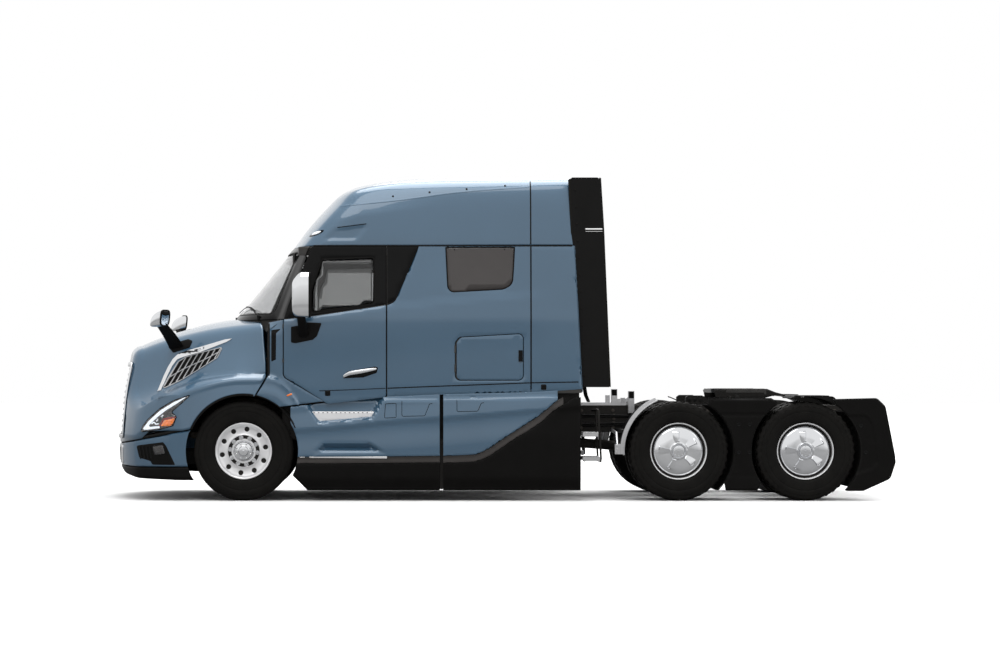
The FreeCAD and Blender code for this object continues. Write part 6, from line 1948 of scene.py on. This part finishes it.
def make_frame_details():
    bolts = Shape()
    for x in np.arange(-3700, 3960, 170):
        for z in (745, 930):
            bolts.bolt((x, -433, z), (0, -1, 0), 13, 12)
    for x in (860, 1240, 1480, 1560, 2140, 2240, 2790, 2880, 3600, 3800):
        for z in (800, 840, 880):
            bolts.bolt((x, -433, z), (0, -1, 0), 12, 12)
    pair_of(bolts.piece("rail_bolts_left", "cast", "chassis", "cast", 30))
    lines = Shape()
    for k, z in enumerate((770, 790, 860, 880)):
        path = [(x, -446 - 5 * (k % 2), z + 5 * math.sin(x / 190 + k)) for x in range(900, 3900, 75)]
        lines.tube(path, 8, 8)
    for x in DRIVE_X:
        for y in (-300, 300):
            lines.tube([(x - 240, y, 960), (x - 200, y * 1.05, 860), (x - 150, y * 1.35, 760),
                        (x - 90, y * 1.45, 640), (x - 60, y * 1.4, 560)], 12, 8)
    lines.piece("air_lines", "gloss_black", "chassis", "black_plastic", 50)
    tanks = Shape()
    for x0, x1, y, z in ((1090, 1700, -250, 800), (1090, 1700, 250, 800), (3500, 3880, -200, 820),
                         (3500, 3880, 200, 820)):
        loft(tanks, [[Vector((x, y + r * math.cos(a), z + r * math.sin(a))) for a in around(36)]
                     for x, r in ((x0, 20), (x0 + 4, 60), (x0 + 20, 92), (x0 + 45, 104), (x0 + 50, 106),
                                  (x1 - 50, 106), (x1 - 45, 104), (x1 - 20, 92), (x1 - 4, 60), (x1, 20))])
    tanks.piece("air_tanks", "dark_chassis", "chassis", "dark_chassis", 35)
    # serrated walkway on the deck and the ribs of the fuel tanks
    deck = Shape()
    for x in np.arange(866, 1204, 24):
        for y in np.arange(-400, 401, 40):
            deck.tube([(x, y, 999), (x, y, 1004)], [9, 6], 8)
    deck.box(846, 1374, -436, -424, 989, 1008)
    deck.box(846, 1374, 424, 436, 989, 1008)
    deck.piece("deck_treads", "satin_aluminium", "chassis", "satin_aluminium", 30)
    bands = Shape()
    for x in (-860, -280, 300):
        path = [(x, y, z) for y, z in rounded([(-1121, 936, 150), (-1121, 279, 150), (-470, 279, 150),
                                               (-470, 936, 40)],
                                              30)]
        rings = [[Vector(p) + Vector((dx, 0, 0)) for dx in (-30, 30)] for p in path]
        bands.add([v for ring in rings for v in ring], grid_faces(len(rings), 2))
    band = bands.piece("tank_straps_left", "satin_aluminium", "chassis", "satin_aluminium", 30)
    thicken(band, 4, 1)
    pair_of(band)
    # tail: cross member cover, lamps and light bar
    tail = Shape()
    tail.box(4012, 4030, -420, 420, 770, 930)
    for y in (-330, 330):
        tail.tube([(4030, y, 850), (4052, y, 850)], [58, 55], 28)
    tail.box(4012, 4040, -200, 200, 600, 700)
    tail.piece("tail_panel", "black_plastic", "chassis", "black_plastic", 30, bevel=4)
    lamps = Shape()
    for y in (-330, 330):
        loft(lamps, [[Vector((4052 + h, y + r * math.cos(a), 850 + r * math.sin(a)))
                      for a in around(30)]
                     for r, h in ((50, 0), (49, 6), (40, 10), (20, 12), (1, 12.5))], False)
    for y in (-230, 170):
        lamps.box(4030, 4046, y, y + 60, 830, 870)
    lamps.piece("tail_lamps", "red_lens", "chassis", "lamp", 30, bevel=1.5)


def make_fifth_wheel():
    top = Shape()
    for y in (-392, 392):
        top.tube([(2420, y, 1160), (2860, y, 1160)], 6, 6)
    for r0 in (150, 250):
        path = [(2560 + r0 * math.cos(a), r0 * math.sin(a), 1160.5) for a in np.radians(np.linspace(110, 250,
                                                                                                    24))]
        top.tube(path, 5, 6)
    for x, y in ((2360, -200), (2360, 200), (2480, -380), (2480, 380), (2800, -380), (2800, 380)):
        top.bolt((x, y, 1160), (0, 0, 1), 14, 4)
    top.tube([(2480, -300, 1085), (2476, -455, 1080), (2476, -520, 1078)], 10, 10)
    skirts = Shape()
    for side in (-1, 1):
        edge = [(2312, 1150), (2330, 1072), (2480, 1062), (2850, 1062), (2960, 1092), (3060, 1098),
                (3060, 1104), (2880, 1150)]
        skirts.prism(edge, side * 447 - 6, side * 447 + 6)
    skirts.piece("fifth_wheel_skirts", "dark_chassis", "fifth_wheel", "cast", 30, bevel=2)
    top.piece("fifth_wheel_grease", "greased_steel", "fifth_wheel", "greased_steel", 30)
    base = Shape()
    for x in (2352, 2420, 2700, 2768):
        for y in (-455, 455):
            base.bolt((x, y, 999), (0, 0, 1), 15, 14)
    for y in (-474, 474):
        base.bolt((2560, y, 1070), (0, y, 0), 26, 14)
    for side in (-1, 1):
        base.prism([(2010, 1000), (2010, 1070), (2040, 1092), (2190, 1092), (2235, 1060), (2325, 1030),
                    (2325, 1000)],
                   side * 400 - 30, side * 400 + 30)
        for x in (2050, 2110, 2170):
            base.bolt((x, side * 431, 1046), (0, side, 0), 16, 12)
    base.piece("fifth_wheel_bolts", "dark_chassis", "chassis", "cast", 30, bevel=1.5)


def make_cab_back():
    """Ribs, grab rails and air and electric line board on the cab's rear wall, and the extender rubbers."""
    shape = Shape()
    for y in (-820, -410, 0, 410, 820):
        path = [(back_x(z) + 3, y, z) for z in np.linspace(1240, 2560, 23)]
        rings = [[Vector(p) + Vector((dx, dy, 0)) for dx, dy in ((-3, -34), (6, -24), (9, 0), (6, 24),
                                                                 (-3, 34))]
                 for p in path]
        shape.add([v for ring in rings for v in ring], grid_faces(len(rings), 5))
    shape.piece("cab_back_ribs", "paint", "chassis", "paint", 50)
    board = Shape()
    x = back_x(1500)
    board.box(x + 8, x + 26, -260, 260, 1380, 1640)
    for y in (-180, -60, 60, 180):
        board.tube([(x + 26, y, 1510), (x + 74, y, 1500)], [30, 24], 20)
        board.tube([(x + 60, y, 1500), (x + 120, y, 1440), (x + 130, y * 0.9, 1250), (x + 160, y * 0.7, 1090),
                    (x + 190, y * 0.6, 1020)], 11, 10)
    for side in (-1, 1):
        board.tube([(x + 6, side * 980, 1400), (x + 62, side * 980, 1410), (x + 62, side * 980, 2190),
                    (x + 6, side * 980, 2200)], 15, 12)
    board.piece("air_line_board", "black_plastic", "chassis", "black_plastic", 35, bevel=2)
    rubber = Shape()
    rubber.prism([(1122, 1186), (1142, 1186), (1073, 2828), (1040, 3366), (1020, 3372), (1053, 2828)], -1146,
                 -1132)
    for z in np.linspace(1300, 3240, 12):
        at_x = back_x(z) + 45
        rubber.bolt((at_x, -1151, z), (0, -1, 0), 9, 5)
    rubber.prism([(back_x(2662) - 24, 2668), (back_x(2662) + 16, 2668), (back_x(3366) + 16, 3366),
                  (back_x(3366) - 24, 3350)], -1146, -1132)
    rubber.prism([(862, 2812), (1068, 2812), (1068, 2829), (868, 2829)], -1149, -1130)
    seal = Shape()
    seal.tube([(back_x(2660) + 5, y, 2661) for y in np.linspace(-1150, 1150, 24)], 9, 10)
    seal.piece("cab_back_seal", "tyre", "chassis", "black_plastic", 40)
    pair_of(rubber.piece("extender_rubber_left", "tyre", "chassis", "black_plastic", 30, bevel=2))


make_guards()
make_rear_steps()
make_frame_details()
make_fifth_wheel()
make_cab_back()


# ---- cab interior ---------------------------------------------------------------------------
def cushion(name, centre, size, tilt=0.0, mat="upholstery", rolls=0.0, stitches=(), count=(34, 30),
            node=None):
    """Crowned cushion: a closed rounded pad whose top bulges between stitched seams, with side bolsters."""
    lx, ly, lz = size[0] / 2, size[1] / 2, size[2] / 2
    verts, faces = [], []
    nu, nv = count
    rot = Matrix.Rotation(tilt, 3, "Y")

    def crease(u, v):
        d = 0.0
        for axis, at in stitches:
            t = (u * lx if axis == "x" else v * ly) - at
            d = max(d, math.exp(-(t / 9) ** 2))
        return d

    def spread(t):
        return math.copysign(1 - (1 - abs(t)) ** 1.6, t)
    for side in (1, -1):
        for i in range(nu + 1):
            for j in range(nv + 1):
                u, v = spread(2 * i / nu - 1), spread(2 * j / nv - 1)
                edge = max(0.0, 1 - abs(u) ** 7) ** 0.42 * max(0.0, 1 - abs(v) ** 7) ** 0.42
                crown = 0.78 + 0.22 * (1 - u * u) * (1 - v * v)
                z = lz * edge * crown
                if side > 0:
                    z += rolls * edge * step(0.55, 0.8, abs(v)) * (1 - step(0.9, 1.0, abs(v)))
                    z -= 9 * crease(u, v) * edge
                    z += 1.6 * math.sin(u * 19 + v * 5) * math.sin(v * 23 - u * 4) * edge
                pull = 0.045 * (1 - edge)
                p = rot @ Vector((u * lx * (1 - pull * abs(v)), v * ly * (1 - pull * abs(u)), side * z))
                verts.append(Vector(centre) + p)
    n = (nu + 1) * (nv + 1)
    for i in range(nu):
        for j in range(nv):
            a = i * (nv + 1) + j
            faces.append((a, a + nv + 1, a + nv + 2, a + 1))
            faces.append((n + a, n + a + 1, n + a + nv + 2, n + a + nv + 1))
    piece = new_piece(name, verts, faces, mat, "chassis", "upholstery", 70, weld=0.4)
    sub = piece.modifiers.new("Subdivision", "SUBSURF")
    sub.levels = sub.render_levels = 1
    if node:
        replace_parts(piece, node)
    # piping round the edge
    pipe = Shape()
    ring = []
    for t in around(72):
        c, s = math.cos(t), math.sin(t)
        q = rot @ Vector((lx * 0.985 * math.copysign(abs(c) ** 0.28, c),
                          ly * 0.985 * math.copysign(abs(s) ** 0.28, s), 0))
        ring.append(Vector(centre) + q)
    pipe.tube(ring + ring[:1], 5, 8, caps=False)
    pipe.piece(name + "_piping", "gloss_black", "chassis", "upholstery", 60)
    return piece


def make_interior():
    for side, tag in ((-1, "left"), (1, "right")):
        y = side * 560
        seams_at = (("y", -150), ("y", 150), ("x", -120), ("x", 70))
        cushion(f"seat_cushion_{tag}", (-1510, y, 1560), (520, 520, 150), math.radians(-3), rolls=26,
                stitches=seams_at, node="seats" if side < 0 else None)
        cushion(f"seat_back_{tag}", (-1240, y, 1880), (560, 510, 130), math.radians(-101), rolls=26,
                stitches=(("y", -150), ("y", 150), ("x", -130), ("x", 60)))
        cushion(f"headrest_{tag}", (-1172, y, 2232), (180, 280, 96), math.radians(-100), count=(24, 28),
                stitches=(("x", 0),))
        base = Shape()
        base.box(-1700, -1290, y - 215, y + 215, 1172, 1200)
        loft(base, [oval((-1490, y, z), X, Y, a, b, 6, 32) for z, a, b in
                    ((1198, 190, 190), (1230, 180, 180), (1250, 150, 150), (1280, 178, 178), (1300, 150, 150),
                     (1330, 178, 178), (1350, 150, 150), (1380, 178, 178), (1420, 200, 220),
                     (1490, 230, 236))])
        for dy in (-262, 262):
            base.tube([(-1290, y + dy, 1700), (-1420, y + dy, 1730), (-1560, y + dy, 1726)], [18, 26, 20], 12)
            base.tube([(-1180, y + dy * 0.3, 2080), (-1170, y + dy * 0.3, 2190)], 7, 8)
        base.piece(f"seat_base_{tag}", "black_plastic", "chassis", "black_plastic", 35)
    x1 = back_x(1700) - 60
    cushion("bunk_mattress", ((x1 - 470) / 2, 0, 1640), (x1 + 460, 2180, 190), 0, mat="mattress",
            count=(40, 100), stitches=tuple(("y", y) for y in (-720, -360, 0, 360, 720)) + (("x", -200),
                                                                                            ("x", 200)),
                                                                                            node="bunk")
    cushion("bunk_pillow", (140, -820, 1766), (560, 380, 130), 0, mat="mattress", count=(32, 26))
    shelf = Shape()
    shelf.box(-470, x1 + 20, -1096, 1096, 1480, 1545)
    shelf.box(-450, -420, -1096, 1096, 1172, 1480)
    for y in (-740, -10, 720):
        shelf.box(-456, -450, y - 330, y + 330, 1210, 1450)
        shelf.tube([(-460, y - 40, 1400), (-474, y, 1402), (-460, y + 40, 1400)], 7, 8)
    for z in (2200, 2420):
        shelf.box(-100, x1 - 20, -1060, 1060, z, z + 26)
    shelf.box(-60, -34, -1060, 1060, 2226, 2640)
    shelf.piece("bunk_base", "trim", "chassis", "trim", 30, bevel=8)
    # instrument binnacle, screen, vents, pillar trims and sun visors
    dash = Shape()
    loft(dash, [oval((x, -560, z), Y, Z, a, b, 4, 36) for x, z, a, b in
                ((-2190, 1860, 250, 40), (-2110, 1880, 262, 66), (-2030, 1884, 255, 72),
                 (-1990, 1880, 240, 64), (-1988, 1878, 225, 55), (-2012, 1872, 220, 52))])
    dash.box(-2046, -2024, -200, 170, 1620, 1850)
    for y in (-860, -270, 240, 840):
        dash.box(-2042, -2030, y - 60, y + 60, 1740, 1810)
        for k in range(5):
            dash.box(-2034, -2022, y - 54, y + 54, 1748 + 13 * k, 1752 + 13 * k)
    dash.tube([(-1890, -560, 1800), (-1960, -700, 1798), (-1968, -740, 1802)], 8, 8)
    dash.tube([(-1890, -560, 1800), (-1960, -420, 1798), (-1968, -380, 1802)], 8, 8)
    dash.piece("dash_binnacle", "black_plastic", "chassis", "black_plastic", 35, bevel=3)
    screens = Shape()
    screens.box(-2024, -2021, -190, 160, 1636, 1836)
    screens.box(-2013, -2010, -740, -380, 1836, 1912)
    screens.piece("dash_screens", "gloss_black", "chassis", "black_plastic", 30, bevel=1)
    knobs = Shape()
    for k in range(6):
        knobs.tube([(-2030, -130 + 55 * k, 1596), (-2012, -130 + 55 * k, 1594)], [17, 15], 18)
    knobs.piece("dash_knobs", "grey_trim", "chassis", "trim", 35)
    liner = Shape()
    for x0, x1_, y0, y1 in ((-2190, -2170, -880, -120), (-2190, -2170, 120, 880)):
        liner.box(x0, x1_, y0, y1, 2470, 2600)
    liner.box(-2120, 640, -1120, -1108, 2560, 2650)
    liner.box(-2120, 640, 1108, 1120, 2560, 2650)
    liner.box(-1180, -470, -1120, -1104, 1180, 2560)
    liner.box(-1180, -470, 1104, 1120, 1180, 2560)
    liner.box(-475, 640, -1120, -1104, 1180, 2160)
    liner.box(-475, 640, 1104, 1120, 1180, 2160)
    liner.box(640, 660, -1110, 1110, 1750, 2560)
    liner.piece("cab_lining", "trim", "chassis", "trim", 30, bevel=6)
    hub = Shape()
    axis = Vector((math.sin(math.radians(32)), 0, math.cos(math.radians(32))))
    top = Vector((-1870, -560, 1830))
    u, w = Vector((0, 1, 0)), axis.cross(Vector((0, 1, 0)))
    loft(hub, [oval(top + axis * h, u, w, a, a, 3, 36) for h, a in ((14, 60), (20, 62), (28, 58), (32, 46),
                                                                    (33, 1))])
    for k in range(3):
        a = math.radians(90 + 120 * k)
        d = w * math.cos(a) + u * math.sin(a)
        hub.tube([top + axis * 10 + d * 60, top + axis * 4 + d * 130, top + axis * 2 + d * 205], [20, 13, 12],
                 12, flat=0.5)
    hub.piece("steering_hub", "gloss_black", "steering_wheel", "black_plastic", 35)


make_interior()

# softened edges on the CAD pieces that stay
for node, width in (("frame_rails", 6), ("crossmembers", 6), ("rear_fenders", 5), ("side_extenders", 6),
                    ("deck_plate", 3), ("fifth_wheel_plate", 5), ("fifth_wheel_base", 4),
                    ("engine_and_gearbox", 14), ("radiator", 6), ("front_axle", 5), ("front_springs", 2),
                    ("drive_axles", 4), ("rear_suspension", 5), ("dashboard", 14), ("fuel_tanks", 4)):
    soften(frame["nodes"][node], width, 2, 40)


# ---- CAD nodes that stay --------------------------------------------------------------------
SLOT_MATS = {"clear_glass": "glass", "lamp": "lens"}      # every other slot has a material of its own name
slots = {s["node"]: s["material_slot"] for s in frame["record"]["subparts"]}
for node, obj in frame["nodes"].items():
    if obj.hide_render:
        continue
    obj.data.materials.clear()
    lined = node.startswith(("door_", "cab_", "luggage_door", "hood")) and "mirror" not in node
    obj.data.materials.append(MATS["trim" if lined else SLOT_MATS.get(slots[node], slots[node])])
